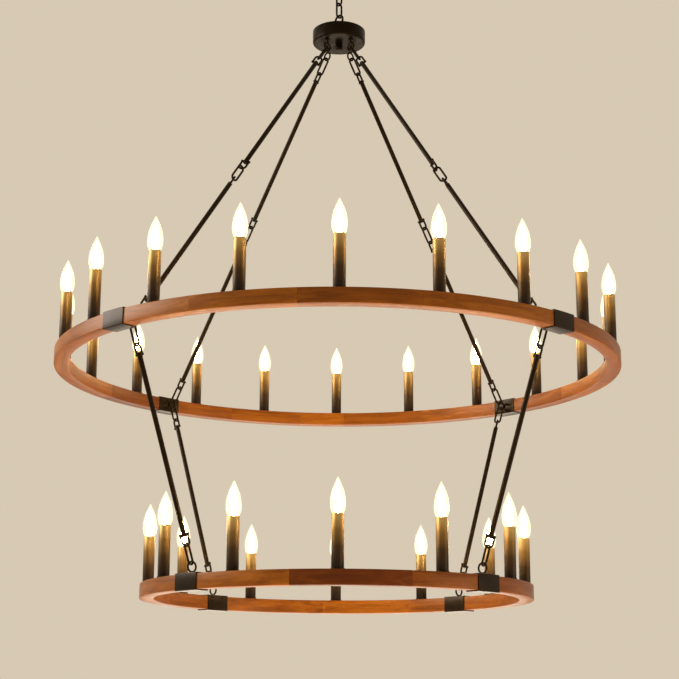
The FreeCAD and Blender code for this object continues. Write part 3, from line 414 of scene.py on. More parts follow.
# %% [markdown]
# ### The lit bulb
#
# A lit candle bulb is a thin glass globe round a very bright filament. Light that has to pass
# through real glass is noisy, so the globe is a dark skin that lets a fifth of the light
# through and glows a pale yellow by itself, and the flame-shaped glow inside it is the light.
# The lamps are lit in the picture, so their warm light on the wood is part of the object's look.

# %% Bulb glass and glow
bulb_glass, glass_shader = new_finish(
    "warm_bulb_glass", Alpha=0.8, Roughness=0.12, Emission_Strength=1.12)
glass_place = object_place(bulb_glass)
glass_haze = noise(bulb_glass, glass_place, (55, 55, 55), detail=2)
haze_colour = colours(
    bulb_glass, glass_haze, (0.3, (1.0, 0.91, 0.60)), (0.7, (1.0, 0.95, 0.70)))
join(bulb_glass, haze_colour, glass_shader.inputs["Emission Color"])
glass_shader.inputs["Base Color"].default_value = (0.012, 0.010, 0.006, 1)

bulb_glow, glow_shader = new_finish(
    "bulb_glow", Roughness=0.5, Emission_Strength=330.0)
glow_haze = noise(bulb_glow, object_place(bulb_glow), (90, 90, 30), detail=2)
glow_colour = colours(
    bulb_glow, glow_haze, (0.3, (1.0, 0.64, 0.28)), (0.7, (1.0, 0.69, 0.33)))
join(bulb_glow, glow_colour, glow_shader.inputs["Emission Color"])
join(bulb_glow, glow_colour, glow_shader.inputs["Base Color"])
print("bulb finishes:", bulb_glass.name, bulb_glow.name)


# %% [markdown]
# ### Small finishes
#
# Zinc-plated steel, brass, moulded insulator and wire cover are seen little or not at all, but
# each still gets a finish with its own grain, so that the lamp looks right when it is opened
# up. One helper makes all four.


# %% Small finishes
def small_finish(name, dark, light, metal, rough, grain):
    """A plain material with a slow change of colour and a fine skin."""
    finish, shader = new_finish(name, Metallic=metal)
    place = object_place(finish)
    patches = noise(finish, place, (40, 40, 40), detail=4)
    join(finish, colours(finish, patches, (0.3, dark), (0.7, light)), shader.inputs["Base Color"])
    join(finish, between(finish, patches, rough - 0.06, rough + 0.06, 0.3, 0.7),
         shader.inputs["Roughness"])
    skin = noise(finish, place, (grain, grain, grain), detail=2)
    relief(finish, shader, skin, PAINT_SKIN_DEPTH)
    return finish


FINISHES = {
    "black_steel": painted_steel,
    "bronze_black": bronze_tube,
    "rim_wood": rim_wood,
    "strip_wood": strip_wood,
    "bulb_glass": bulb_glass,
    "bulb_cap": small_finish(
        "brass_cap", (0.55, 0.38, 0.16), (0.72, 0.55, 0.28), 1.0, 0.34, 800),
    "moulded_insulator": small_finish(
        "moulded_insulator", (0.66, 0.61, 0.52), (0.76, 0.71, 0.62), 0.0, 0.6, 500),
    "wire_cover": small_finish(
        "wire_cover", (0.05, 0.045, 0.04), (0.08, 0.07, 0.06), 0.0, 0.5, 900),
    "zinc_steel": small_finish(
        "zinc_plate", (0.50, 0.50, 0.48), (0.66, 0.66, 0.63), 1.0, 0.36, 600),
}
print("finishes:", len(FINISHES))

# %% [markdown]
# ### Floor
#
# The floor lies far below the lamps and would look dark. A part of the backdrop's colour is
# added for the rays that show it, and for no others, so it looks pale but throws no light up at
# the object.

# %% Pale floor
FLOOR_GLOW = 0.42
pale_floor = small_finish("pale_floor", (0.86, 0.83, 0.78), (0.89, 0.86, 0.81), 0.0, 0.85, 60)
floor_shader = pale_floor.node_tree.nodes["Principled BSDF"]
floor_shader.inputs["Emission Color"].default_value = BACKDROP_COLOUR
join(pale_floor, between(pale_floor, seen_only(pale_floor.node_tree), 0.0, FLOOR_GLOW),
     floor_shader.inputs["Emission Strength"])
floor.data.materials.append(pale_floor)
print("floor glow", FLOOR_GLOW)

# %% [markdown]
# ## Finishes on the CAD nodes
#
# Every CAD node has a material slot in the record. Each takes the finish of that slot, so the
# pieces that stay as they are in CAD are dressed at once. A piece modelled later takes over its
# node.

# %% Dress the CAD nodes
for subpart in frame["record"]["subparts"]:
    mesh = nodes[subpart["node"]].data
    mesh.materials.clear()
    mesh.materials.append(FINISHES[subpart["material_slot"]])

# %% [markdown]
# ## Tools for modelling
#
# The pieces are modelled as by hand: a primitive at its place, edit mode operators, then
# modifiers that are applied. These tools only select, and finish a piece in the same way each
# time. Selecting is done in code, by where a point, an edge or a face is.

# %% Selecting
bpy.ops.object.select_all(action="DESELECT")


def leave_edit():
    """Goes back to object mode, where nothing is being edited."""
    if bpy.context.object is not None and bpy.context.object.mode == "EDIT":
        bpy.ops.object.mode_set(mode="OBJECT")


def only(*pieces):
    """Selects these pieces and no others, the first one active."""
    leave_edit()
    bpy.ops.object.select_all(action="DESELECT")
    for piece in pieces:
        piece.select_set(True)
    bpy.context.view_layer.objects.active = pieces[0]


def settle(piece):
    """Puts a piece's place into its mesh, so that its object is at the origin."""
    only(piece)
    bpy.ops.object.transform_apply(location=True, rotation=True, scale=True)
    return piece


def choose(piece, kind, wanted):
    """Opens a piece for editing with only the wanted points, edges or faces selected."""
    leave_edit()
    only(piece)
    mesh = piece.data
    for group in (mesh.vertices, mesh.edges, mesh.polygons):
        group.foreach_set("select", [False] * len(group))
    bpy.context.tool_settings.mesh_select_mode = (
        kind == "VERT", kind == "EDGE", kind == "FACE")
    points = mesh.vertices
    if kind == "VERT":
        for point in points:
            point.select = wanted(point.co)
    elif kind == "EDGE":
        for edge in mesh.edges:
            if wanted(points[edge.vertices[0]].co, points[edge.vertices[1]].co):
                edge.select = True
    else:
        for face in mesh.polygons:
            if wanted(face.center, face.normal):
                face.select = True
    bpy.ops.object.mode_set(mode="EDIT")


def open_all(piece):
    """Opens a piece for editing with everything selected."""
    only(piece)
    bpy.ops.object.mode_set(mode="EDIT")
    bpy.ops.mesh.select_mode(type="VERT")
    bpy.ops.mesh.select_all(action="SELECT")


# %% Finishing one piece
def finished(piece, name, finish, smooth=35):
    """Turns the faces outwards, shades the piece and gives it its name and finish."""
    open_all(piece)
    bpy.ops.mesh.normals_make_consistent(inside=False)
    leave_edit()
    only(piece)
    bpy.ops.object.shade_smooth_by_angle(angle=math.radians(smooth))
    piece.name = name
    piece.data.name = name
    piece.data.materials.clear()
    piece.data.materials.append(finish)
    return piece


def applied(piece, kind, **settings):
    """Adds one modifier and applies it."""
    only(piece)
    modifier = piece.modifiers.new(kind.lower(), kind)
    for name, value in settings.items():
        setattr(modifier, name, value)
    bpy.ops.object.modifier_apply(modifier=modifier.name)
    return piece


# %% Joining and copying
def merged(*pieces):
    """Joins pieces into the first one, with its place in its mesh."""
    only(*pieces)
    if len(pieces) > 1:
        bpy.ops.object.join()
    return settle(pieces[0])


def copy_at(piece, place):
    """A copy with its own mesh, put at a place."""
    copy = piece.copy()
    copy.data = piece.data.copy()
    bpy.context.scene.collection.objects.link(copy)
    copy.matrix_world = place
    return copy


def repeated(piece, places):
    """Copies of one piece at each place, joined as one object. The first piece is used up."""
    copies = [copy_at(piece, place) for place in places]
    bpy.data.objects.remove(piece)
    return merged(*copies)


# %% [markdown]
# ### Turned pieces
#
# Hub, canopy, knob, sleeves, cups and bulbs are all round. They could be made with Spin, but a
# circle that is extruded and scaled from level to level keeps the same even rings and shows
# each size. A tube's last ring is bridged to its first. A solid's two end rings are merged to
# a point.


# %% Turned pieces
def lathe(rings, sides=32, tube=False):
    """Builds a round piece on the Z axis from (radius, level) rings, in metres."""
    radius, level = rings[0]
    leave_edit()
    bpy.ops.mesh.primitive_circle_add(vertices=sides, radius=radius, location=(0, 0, level))
    piece = settle(bpy.context.object)
    open_all(piece)
    for next_radius, next_level in rings[1:]:
        bpy.ops.mesh.extrude_region_move(
            TRANSFORM_OT_translate={"value": (0, 0, next_level - level)})
        grow = next_radius / radius
        bpy.ops.transform.resize(value=(grow, grow, 1), center_override=(0, 0, next_level))
        radius, level = next_radius, next_level
    bpy.ops.mesh.select_all(action="DESELECT")
    bpy.ops.mesh.select_non_manifold()
    if tube:
        bpy.ops.mesh.bridge_edge_loops()
    else:
        bpy.ops.mesh.merge(type="COLLAPSE")
    leave_edit()
    return piece


def rounded_lathe(rings, edge, sides=32, tube=False, steps=3, sharper_than=24):
    """A turned piece whose corners are rounded by a bevel."""
    piece = lathe(rings, sides, tube)
    open_all(piece)
    bpy.ops.mesh.normals_make_consistent(inside=False)
    leave_edit()
    return applied(piece, "BEVEL", width=edge, segments=steps, limit_method="ANGLE",
                   angle_limit=math.radians(sharper_than), use_clamp_overlap=True)


# %% [markdown]
# ### Wire rings and links
#
# Rings and links are bent from round wire and welded shut. A torus is the ring. A link is a
# torus whose upper half is moved up and lower half down, which leaves two straight sides
# between them.


# %% Wire rings and links
UPRIGHT = Matrix.Identity(4)


def wire_ring(width, wire, place, round_count=40, wire_count=14):
    """A ring in the XZ plane of the place, given its outer width."""
    leave_edit()
    bpy.ops.mesh.primitive_torus_add(
        major_radius=(width - wire) / 2, minor_radius=wire / 2,
        major_segments=round_count, minor_segments=wire_count)
    ring = bpy.context.object
    ring.matrix_world = place @ Matrix.Rotation(math.pi / 2, 4, "X")
    return settle(ring)


def wire_link(length, width, wire):
    """A link in the XZ plane round the origin, long in Z."""
    link = wire_ring(width, wire, UPRIGHT)
    stretch = (length - width) / 2
    for side in (1, -1):
        choose(link, "VERT", lambda co: co.z * side > wire * 0.02)
        bpy.ops.transform.translate(value=(0, 0, side * stretch))
    leave_edit()
    return weld_seam(link, width, wire)


def weld_seam(link, width, wire):
    """Swells a short stretch of one straight side, where the wire's ends are welded."""
    side = (width - wire) / 2
    choose(link, "EDGE", lambda a, b: a.x > 0 and b.x > 0 and abs(a.z - b.z) > wire)
    bpy.ops.mesh.subdivide(number_cuts=7)
    reach = wire * 0.30
    choose(link, "VERT", lambda co: co.x > 0 and abs(co.z) < reach)
    bpy.ops.transform.resize(value=(1.10, 1.16, 1), center_override=(side, 0, 0))
    leave_edit()
    return link


# %% [markdown]
# ## Sizes that the modelled pieces share
#
# These repeat the CAD sizes in metres. Where a piece's place can be read from its CAD node, it
# is read from the frame instead. Points closer than NEAR to an edge count as on it.

# %% Shared sizes
MM = 0.001
CORNERS = {"back_right": 45, "back_left": 135, "front_left": 225, "front_right": 315}
UPPER = {"name": "upper_ring", "middle": 594.5 * MM, "top": -1000.0 * MM, "lamps": 20}
LOWER = {"name": "lower_ring", "middle": 397.8 * MM, "top": -1486.6 * MM, "lamps": 12}
RIM = 30 * MM
RIM_JOINT = 0.4 * MM
NEAR = 0.1 * MM


def about_z(degrees):
    """A turn about the upright axis."""
    return Matrix.Rotation(math.radians(degrees), 4, "Z")


def middle_of(node):
    """The middle of a CAD node's box."""
    low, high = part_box(node)
    return (low + high) / 2


# %% [markdown]
# ## The wooden rims
#
# Each rim is four arcs, and each arc is glued up from short blocks. One block is a square face
# with a groove cut out of its top. Only its outline is spun round the axis, and then the two
# ends are filled, so that the block is one closed skin. Spin keeps the section exact. The long
# edges are rounded more than the ends, so that a seam between two blocks stays a fine line.


# %% One block of a rim
GROOVE = 20 * MM
GROOVE_DEPTH = 10 * MM
ARRIS = 1.4 * MM
SEAM = 0.35 * MM
STEP_LENGTH = 16 * MM


def rim_block(middle, top, start, span):
    """One block with a groove in its top, from one angle on, in radians."""
    leave_edit()
    bpy.ops.mesh.primitive_plane_add(
        size=RIM, location=(middle, 0, top - RIM / 2), rotation=(math.pi / 2, 0, 0))
    block = settle(bpy.context.object)
    cuts = (
        ((middle - GROOVE / 2, 0, 0), (1, 0, 0)),
        ((middle + GROOVE / 2, 0, 0), (1, 0, 0)),
        ((middle, 0, top - GROOVE_DEPTH), (0, 0, 1)),
    )
    for point, normal in cuts:
        open_all(block)
        bpy.ops.mesh.bisect(plane_co=point, plane_no=normal)
    choose(block, "FACE", lambda centre, normal: (
        abs(centre.x - middle) < GROOVE / 2 and centre.z > top - GROOVE_DEPTH))
    bpy.ops.mesh.delete(type="FACE")
    open_all(block)
    bpy.ops.mesh.dissolve_limited(angle_limit=math.radians(1))
    open_all(block)
    bpy.ops.mesh.delete(type="ONLY_FACE")
    steps = max(3, round(span * middle / STEP_LENGTH))
    open_all(block)
    bpy.ops.mesh.spin(steps=steps, angle=-span, center=(0, 0, 0), axis=(0, 0, 1))
    bpy.ops.mesh.select_all(action="DESELECT")
    bpy.ops.mesh.select_non_manifold()
    bpy.ops.mesh.fill_holes(sides=0)
    open_all(block)
    bpy.ops.mesh.normals_make_consistent(inside=False)

    def on_arris(co):
        radial = abs(math.hypot(co.x, co.y) - middle)
        return (abs(radial - RIM / 2) < NEAR
                and min(abs(co.z - top), abs(co.z - top + RIM)) < NEAR)

    def along(a, b):
        return abs(math.atan2(a.y, a.x) - math.atan2(b.y, b.x)) > 0.2 * span / steps

    choose(block, "EDGE", lambda a, b: on_arris(a) and on_arris(b) and along(a, b))
    bpy.ops.mesh.bevel(offset=ARRIS, segments=3, affect="EDGES")
    leave_edit()
    applied(block, "BEVEL", width=SEAM, segments=1, limit_method="ANGLE",
            angle_limit=math.radians(60), use_clamp_overlap=True)
    block.matrix_world = Matrix.Rotation(start, 4, "Z")
    return settle(block)


# %% [markdown]
# The wood's grain is straight in each block, because the block was sawn from a straight board.
# The block's own frame has X along its chord, Y outwards and Z up. That point, shifted by a
# different amount for each block, is stored on the mesh for the finish to read.


# %% Grain of a block
GRAIN_SHIFT = (1.7, 0.31, 0.23)


def store_grain(block, middle_angle, radius, number, tone):
    """Writes the two attributes that the wood finish reads."""
    mesh = block.data
    turn = Matrix.Rotation(-middle_angle - math.pi / 2, 4, "Z")
    shift = Vector([part * number for part in GRAIN_SHIFT])
    mesh.attributes.new("grain_place", "FLOAT_VECTOR", "POINT")
    mesh.attributes.new("block_tone_and_painted_light", "FLOAT", "POINT")
    places = mesh.attributes["grain_place"].data
    tones = mesh.attributes["block_tone_and_painted_light"].data
    for point in mesh.vertices:
        places[point.index].vector = turn @ point.co + shift
        tones[point.index].value = tone


# %% [markdown]
# The blocks differ in length and tone. Each quarter has its own list of shares of the arc and
# of tones from 0, dark, to 1, light, read from how the photographed rims change along their
# length. Those changes are partly the wood's own tone from block to block and partly painted
# light and shade, since how brightly each stretch of rim is lit went into its tone.

# %% Both rims
# Tones per block: partly the wood's own, partly painted light and shade.
UPPER_BLOCKS = {
    225: ((0.20, 1.00), (0.22, 0.92), (0.24, 0.50), (0.34, 0.72)),
    315: ((0.30, 0.55), (0.26, 0.45), (0.22, 0.75), (0.22, 0.35)),
    45: ((0.26, 0.70), (0.22, 0.62), (0.12, 1.00), (0.20, 0.66), (0.20, 0.58)),
    135: ((0.22, 0.15), (0.30, 0.60), (0.22, 0.85), (0.26, 0.70)),
}
LOWER_BLOCKS = {
    225: ((0.36, 0.75), (0.36, 0.00), (0.28, 0.36)),
    315: ((0.34, 0.30), (0.33, 0.45), (0.33, 0.55)),
    45: ((0.20, 0.58), (0.35, 0.98), (0.45, 0.66)),
    135: ((0.30, 0.50), (0.36, 0.70), (0.34, 0.62)),
}


def wooden_rim(ring, quarters):
    """A whole rim of blocks. Each quarter starts at a corner's clamp."""
    blocks = []
    joint = RIM_JOINT / ring["middle"]
    for corner, shares in quarters.items():
        start = math.radians(corner) + joint / 2
        arc = math.pi / 2 - joint
        for share, tone in shares:
            span = arc * share
            block = rim_block(ring["middle"], ring["top"], start, span)
            store_grain(block, start + span / 2, ring["middle"], len(blocks) + 1, tone)
            blocks.append(block)
            start += span
    rim = finished(merged(*blocks), ring["name"] + "_wooden_rim", rim_wood)
    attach(rim, ring["name"])
    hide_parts(ring["name"] + "_rim")
    print(rim.name, "blocks", len(blocks), "faces", len(rim.data.polygons))


wooden_rim(UPPER, UPPER_BLOCKS)
wooden_rim(LOWER, LOWER_BLOCKS)

# %% [markdown]
# ## The clamps
#
# A clamp is a band of sheet steel folded round the rim over a joint. Two square outlines, one
# inside the other by the sheet's thickness, are spun along the rim, and each end is bridged. A
# bevel rounds the folds and breaks the sheared edges.

# %% Clamps
CLAMP = {"length": 60 * MM, "wall": 2 * MM, "clearance": 0.2 * MM, "fold": 1.4 * MM,
         "edge": 0.3 * MM}


def clamps(ring):
    """The four clamps of a rim, as one piece."""
    middle = ring["middle"]
    across = RIM + 2 * (CLAMP["clearance"] + CLAMP["wall"])
    outlines = []
    for size in (across, across - 2 * CLAMP["wall"]):
        leave_edit()
        bpy.ops.mesh.primitive_plane_add(
            size=size, location=(middle, 0, ring["top"] - RIM / 2), rotation=(math.pi / 2, 0, 0))
        outlines.append(bpy.context.object)
    clamp = merged(*outlines)
    open_all(clamp)
    bpy.ops.mesh.delete(type="ONLY_FACE")
    span = CLAMP["length"] / middle
    open_all(clamp)
    bpy.ops.mesh.spin(steps=8, angle=-span, center=(0, 0, 0), axis=(0, 0, 1))
    for end in (0, span):
        choose(clamp, "EDGE", lambda a, b: all(
            abs(math.atan2(co.y, co.x) - end) < 0.01 * span for co in (a, b)))
        bpy.ops.mesh.bridge_edge_loops()
    open_all(clamp)
    bpy.ops.mesh.normals_make_consistent(inside=False)

    def on_fold(co):
        radial = abs(math.hypot(co.x, co.y) - middle)
        upright = abs(co.z - ring["top"] + RIM / 2)
        return abs(radial - across / 2) < NEAR and abs(upright - across / 2) < NEAR

    def along(a, b):
        return abs(math.atan2(a.y, a.x) - math.atan2(b.y, b.x)) > 0.02 * span

    choose(clamp, "EDGE", lambda a, b: on_fold(a) and on_fold(b) and along(a, b))
    bpy.ops.mesh.bevel(offset=CLAMP["fold"], segments=3, affect="EDGES")
    leave_edit()
    applied(clamp, "BEVEL", width=CLAMP["edge"], segments=1, limit_method="ANGLE",
            angle_limit=math.radians(60), use_clamp_overlap=True)
    clamp.matrix_world = Matrix.Rotation(-span / 2, 4, "Z")
    settle(clamp)
    band = repeated(clamp, [about_z(corner) for corner in CORNERS.values()])
    finished(band, ring["name"] + "_steel_clamps", clamp_steel_painted_light)
    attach(band, ring["name"])
    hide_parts(ring["name"] + "_clamps")
    print(band.name, "faces", len(band.data.polygons))


clamps(UPPER)
clamps(LOWER)

# %% [markdown]
# ## The candle lamps
#
# A lamp is a small cup, a thin tube and a flame-shaped bulb. Each is turned once on the Z axis
# and then copied round the rim. The cup and the tube's lips get small rounded edges, because
# those edges catch the light of the bulb.

# %% Lamp pieces on the rims
CUP_TOP = 2.5 * MM
SLEEVE_TOP = CUP_TOP + 101.6 * MM
CAP_FOOT = 75.15 * MM
CAP_HEIGHT = 25 * MM
BULB_FOOT = CAP_FOOT + CAP_HEIGHT
BULB_TIP = SLEEVE_TOP + 70 * MM


def lamp_places(ring):
    """One place for each lamp of a rim, turned to face outwards."""
    step = 360 / ring["lamps"]
    seat = Matrix.Translation((ring["middle"], 0, ring["top"]))
    return [about_z(step * lamp) @ seat for lamp in range(ring["lamps"])]


def lamp_set(ring, shape, name, node, finish):
    """Copies one lamp piece round a rim and lets it stand for its CAD node."""
    group = repeated(shape, lamp_places(ring))
    finished(group, f"{ring['name']}_{name}", finish)
    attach(group, ring["name"])
    if node is not None:
        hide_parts(f"{ring['name']}_{node}")
    print(group.name, "faces", len(group.data.polygons))


# %% Cups and sleeves
BORE, SLEEVE_RADIUS, CUP_RADIUS, CUP_HOLE = 10.8 * MM, 12 * MM, 13.5 * MM, 5.0 * MM


def cup_shape():
    """A shallow cup with a rounded lip."""
    return rounded_lathe(
        [(CUP_HOLE, 0), (CUP_RADIUS, 0), (CUP_RADIUS, CUP_TOP - 0.6 * MM),
         (12.6 * MM, CUP_TOP), (CUP_HOLE, CUP_TOP)],
        0.5 * MM, sides=36, tube=True, steps=2)


def sleeve_shape():
    """A thin tube that knows how far up it each point is."""
    sleeve = rounded_lathe(
        [(BORE, CUP_TOP), (SLEEVE_RADIUS, CUP_TOP), (SLEEVE_RADIUS, CUP_TOP + 34 * MM),
         (SLEEVE_RADIUS, CUP_TOP + 68 * MM), (SLEEVE_RADIUS, SLEEVE_TOP), (BORE, SLEEVE_TOP),
         (BORE, CUP_TOP + 60 * MM)],
        0.4 * MM, sides=40, tube=True, steps=2, sharper_than=40)
    # How far up the tube each point is. The finish turns this into the painted glow of the bulb,
    # golden towards the top.
    sleeve.data.attributes.new("up_the_sleeve", "FLOAT", "POINT")
    rises = sleeve.data.attributes["up_the_sleeve"].data
    for point in sleeve.data.vertices:
        rises[point.index].value = (point.co.z - CUP_TOP) / (SLEEVE_TOP - CUP_TOP)
    return sleeve


for ring in (UPPER, LOWER):
    lamp_set(ring, cup_shape(), "lamp_cups", "candle_cups", painted_steel)
    lamp_set(ring, sleeve_shape(), "lamp_sleeves", "candle_sleeves", bronze_tube)

# %% [markdown]
# The bulb is a plain candle flame: a narrow neck, a full belly low down and a long taper. The
# rings follow shares of the height and of the half width. The glow inside repeats them at a
# smaller size.

# %% Bulbs
BULB_HALF_WIDTH = 15 * MM
GLOW_HALF_WIDTH = BULB_HALF_WIDTH * 0.52
GLOW_FOOT = BULB_FOOT + 5 * MM
GLOW_TIP = BULB_TIP - 9 * MM
FLAME = (
    (0.00, 0.42), (0.025, 0.55), (0.05, 0.66), (0.09, 0.77), (0.15, 0.88), (0.22, 0.965),
    (0.30, 1.00), (0.40, 0.985), (0.50, 0.92), (0.58, 0.84), (0.66, 0.73), (0.74, 0.585),
    (0.82, 0.42), (0.90, 0.25), (0.96, 0.12), (1.00, 0.03),
)


def flame_shape(foot, tip, half_width, sides):
    """A flame from foot to tip, through the rings of FLAME."""
    height = tip - foot
    return lathe([(half_width * share, foot + height * rise) for rise, share in FLAME], sides)


for ring in (UPPER, LOWER):
    lamp_set(ring, flame_shape(BULB_FOOT, BULB_TIP, BULB_HALF_WIDTH, 28), "lit_bulbs",
             "bulb_globes", bulb_glass)
    lamp_set(ring, flame_shape(GLOW_FOOT, GLOW_TIP, GLOW_HALF_WIDTH, 16), "bulb_glows",
             None, bulb_glow)

# %% [markdown]
# ## The hub
#
# The hub is a flat drum pressed from sheet, with a softly rounded lower edge, under a lid that
# overhangs by a hair. A knob closes it below, and a screw collar with a ring tops it. All are
# turned, with rounding where a press or a lathe would leave it.

# %% Hub shell, lid and knob
HUB_BOTTOM = -250 * MM
HUB_SHELL_TOP = -222 * MM
HUB_RADIUS = 60 * MM
STEM_HOLE = 5.2 * MM

hub_shell = rounded_lathe(
    [(STEM_HOLE, HUB_BOTTOM), (56 * MM, HUB_BOTTOM), (58 * MM, HUB_BOTTOM + 0.5 * MM),
     (59.5 * MM, HUB_BOTTOM + 2 * MM), (HUB_RADIUS, HUB_BOTTOM + 4 * MM),
     (HUB_RADIUS, HUB_SHELL_TOP), (57.5 * MM, HUB_SHELL_TOP), (57.5 * MM, HUB_BOTTOM + 4 * MM),
     (56 * MM, HUB_BOTTOM + 2.5 * MM), (STEM_HOLE, HUB_BOTTOM + 2.5 * MM)],
    0.5 * MM, sides=96, tube=True, steps=2, sharper_than=12)
hub_lid = rounded_lathe(
    [(STEM_HOLE, HUB_SHELL_TOP), (59.4 * MM, HUB_SHELL_TOP),
     (HUB_RADIUS, HUB_SHELL_TOP + 0.6 * MM), (HUB_RADIUS, HUB_SHELL_TOP + 1.8 * MM),
     (58.6 * MM, HUB_SHELL_TOP + 3 * MM), (STEM_HOLE, HUB_SHELL_TOP + 3 * MM)],
    0.35 * MM, sides=96, tube=True, steps=2)
hub_knob = rounded_lathe(
    [(2 * MM, HUB_BOTTOM - 15 * MM), (5 * MM, HUB_BOTTOM - 15 * MM),
     (7.2 * MM, HUB_BOTTOM - 14 * MM), (8 * MM, HUB_BOTTOM - 12 * MM),
     (8 * MM, HUB_BOTTOM - 2 * MM), (7.4 * MM, HUB_BOTTOM - 1.4 * MM), (7.4 * MM, HUB_BOTTOM),
     (2 * MM, HUB_BOTTOM)],
    0.4 * MM, sides=40, steps=2)


# %% Hub pieces take their places
def stands_for(piece, body, name, node, finish=painted_steel):
    """Finishes one piece, which rides on a body and stands for a CAD node."""
    finished(piece, name, finish)
    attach(piece, body)
    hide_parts(node)
    print(name, "faces", len(piece.data.polygons))


stands_for(hub_shell, "hub", "hub_pressed_shell", "hub_shell", finish=hub_steel_painted_shade)
stands_for(hub_lid, "hub", "hub_pressed_lid", "hub_lid", finish=hub_steel_painted_shade)
stands_for(hub_knob, "hub", "hub_bottom_knob", "hub_knob", finish=hub_steel_painted_shade)

# %% [markdown]
# ## Canopy, collars and chain
#
# The canopy and its collar are above the picture but seen from other sides. Both collars are
# one form, turned for the canopy and turned the other way up for the hub. The chain's links
# are crosswise in turn, and each is placed by the middle of its CAD node.

# %% Canopy
canopy = rounded_lathe(
    [(63.5 * MM, 0), (65 * MM, 0), (65 * MM, -7 * MM), (59 * MM, -22 * MM), (48 * MM, -28 * MM),
     (STEM_HOLE, -28 * MM), (STEM_HOLE, -26.5 * MM), (46.5 * MM, -26.5 * MM),
     (57.5 * MM, -21.25 * MM), (63.5 * MM, -7 * MM)],
    1.0 * MM, sides=96, tube=True, steps=3, sharper_than=12)
stands_for(canopy, "ceiling_mount", "pressed_canopy", "ceiling_canopy")


# %% Collars with rings
LOOP_WIDTH = 28 * MM
LOOP_WIRE = 5 * MM


def collar_with_ring(seat, side, neck, ring_middle, ring_turn):
    """A screw collar, its neck and its ring. side is 1 where the ring is above."""
    def at(height):
        return seat + side * height * MM

    collar = rounded_lathe(
        [(5.1 * MM, at(0)), (11.6 * MM, at(0)), (12 * MM, at(0.5)), (12 * MM, at(7.6)),
         (10.8 * MM, at(9)), (6.6 * MM, at(9)), (6 * MM, at(9.6)), (6 * MM, at(9 + neck)),
         (2 * MM, at(9 + neck)), (2 * MM, at(5.2)), (5.1 * MM, at(5.2))],
        0.3 * MM, sides=48, tube=True, steps=2)
    ring_place = Matrix.Translation((0, 0, ring_middle)) @ about_z(ring_turn)
    ring = wire_ring(LOOP_WIDTH, LOOP_WIRE, ring_place, round_count=56, wire_count=18)
    return merged(collar, ring)


stands_for(collar_with_ring(-28 * MM, -1, 1.2, -49.75 * MM, 45), "ceiling_mount",
           "canopy_collar_and_ring", "canopy_loop")
stands_for(collar_with_ring(-219 * MM, 1, 7, -190.25 * MM, 135), "hub",
           "hub_collar_and_ring", "hub_loop")

# %% Main chain
CHAIN_LINK = {"length": 40 * MM, "width": 20 * MM, "wire": 4.5 * MM}
CHAIN_LINKS = 4

for number in range(1, CHAIN_LINKS + 1):
    link = wire_link(**CHAIN_LINK)
    link.matrix_world = (
        Matrix.Translation(middle_of(f"chain_link_{number}")) @ about_z(45 + 90 * (number % 2)))
    stands_for(settle(link), f"chain_link_{number}", f"welded_chain_link_{number}",
               f"chain_link_{number}")

# %% [markdown]
# ## Screw eyes
#
# An eye is a ring on a stem. Under the hub the stem has a shoulder, on a clamp it goes straight
# through the sheet. All four eyes of a set are copies of one.

# %% Screw eyes
EYE_WIRE = 4 * MM
HUB_EYE_CIRCLE = 38 * MM
HUB_EYE_WIDTH = 22 * MM
CLAMP_EYE_WIDTH = 24 * MM
CLAMP_FACE = 2.2 * MM


def eye_set(body, node, name, ring_width, ring_place, stem):
    """Four screw eyes, from one ring and one stem in the XZ plane."""
    ring = wire_ring(ring_width, EYE_WIRE, Matrix.Translation(ring_place))
    eye = merged(ring, stem)
    stands_for(repeated(eye, [about_z(corner) for corner in CORNERS.values()]), body, name, node)


def stem_shape(rings, place):
    """An eye's stem, turned upright and then put at a place."""
    stem = rounded_lathe(rings, 0.3 * MM, sides=24, steps=2)
    stem.matrix_world = place
    return settle(stem)


eye_set(
    "hub", "hub_eyes", "hub_screw_eyes", HUB_EYE_WIDTH,
    (HUB_EYE_CIRCLE, 0, HUB_BOTTOM - 19 * MM),
    stem_shape(
        [(1 * MM, -10 * MM), (3 * MM, -10 * MM), (3 * MM, -3 * MM), (5.2 * MM, -2.8 * MM),
         (5.5 * MM, -2.4 * MM), (5.5 * MM, 0), (3 * MM, 0), (3 * MM, 7.7 * MM), (1 * MM, 7.7 * MM)],
        Matrix.Translation((HUB_EYE_CIRCLE, 0, HUB_BOTTOM))))

# %% [markdown]
# On the upper rim the eyes stand on the clamps' inner faces, and on the lower rim on their top
# faces.

# %% Clamp eyes
inner_face = UPPER["middle"] - RIM / 2 - CLAMP_FACE
eye_set(
    "upper_ring", "upper_ring_clamp_eyes", "upper_ring_screw_eyes", CLAMP_EYE_WIDTH,
    (inner_face - CLAMP_EYE_WIDTH / 2, 0, UPPER["top"] - RIM / 2),
    stem_shape(
        [(1 * MM, -2 * MM), (3 * MM, -2 * MM), (3 * MM, 20 * MM), (1 * MM, 20 * MM)],
        Matrix.Translation((inner_face, 0, UPPER["top"] - RIM / 2))
        @ Matrix.Rotation(math.pi / 2, 4, "Y")))
top_face = LOWER["top"] + CLAMP_FACE
eye_set(
    "lower_ring", "lower_ring_clamp_eyes", "lower_ring_screw_eyes", CLAMP_EYE_WIDTH,
    (LOWER["middle"], 0, top_face + CLAMP_EYE_WIDTH / 2),
    stem_shape(
        [(1 * MM, -22.2 * MM), (3 * MM, -22.2 * MM), (3 * MM, 2 * MM), (1 * MM, 2 * MM)],
        Matrix.Translation((LOWER["middle"], 0, top_face))))

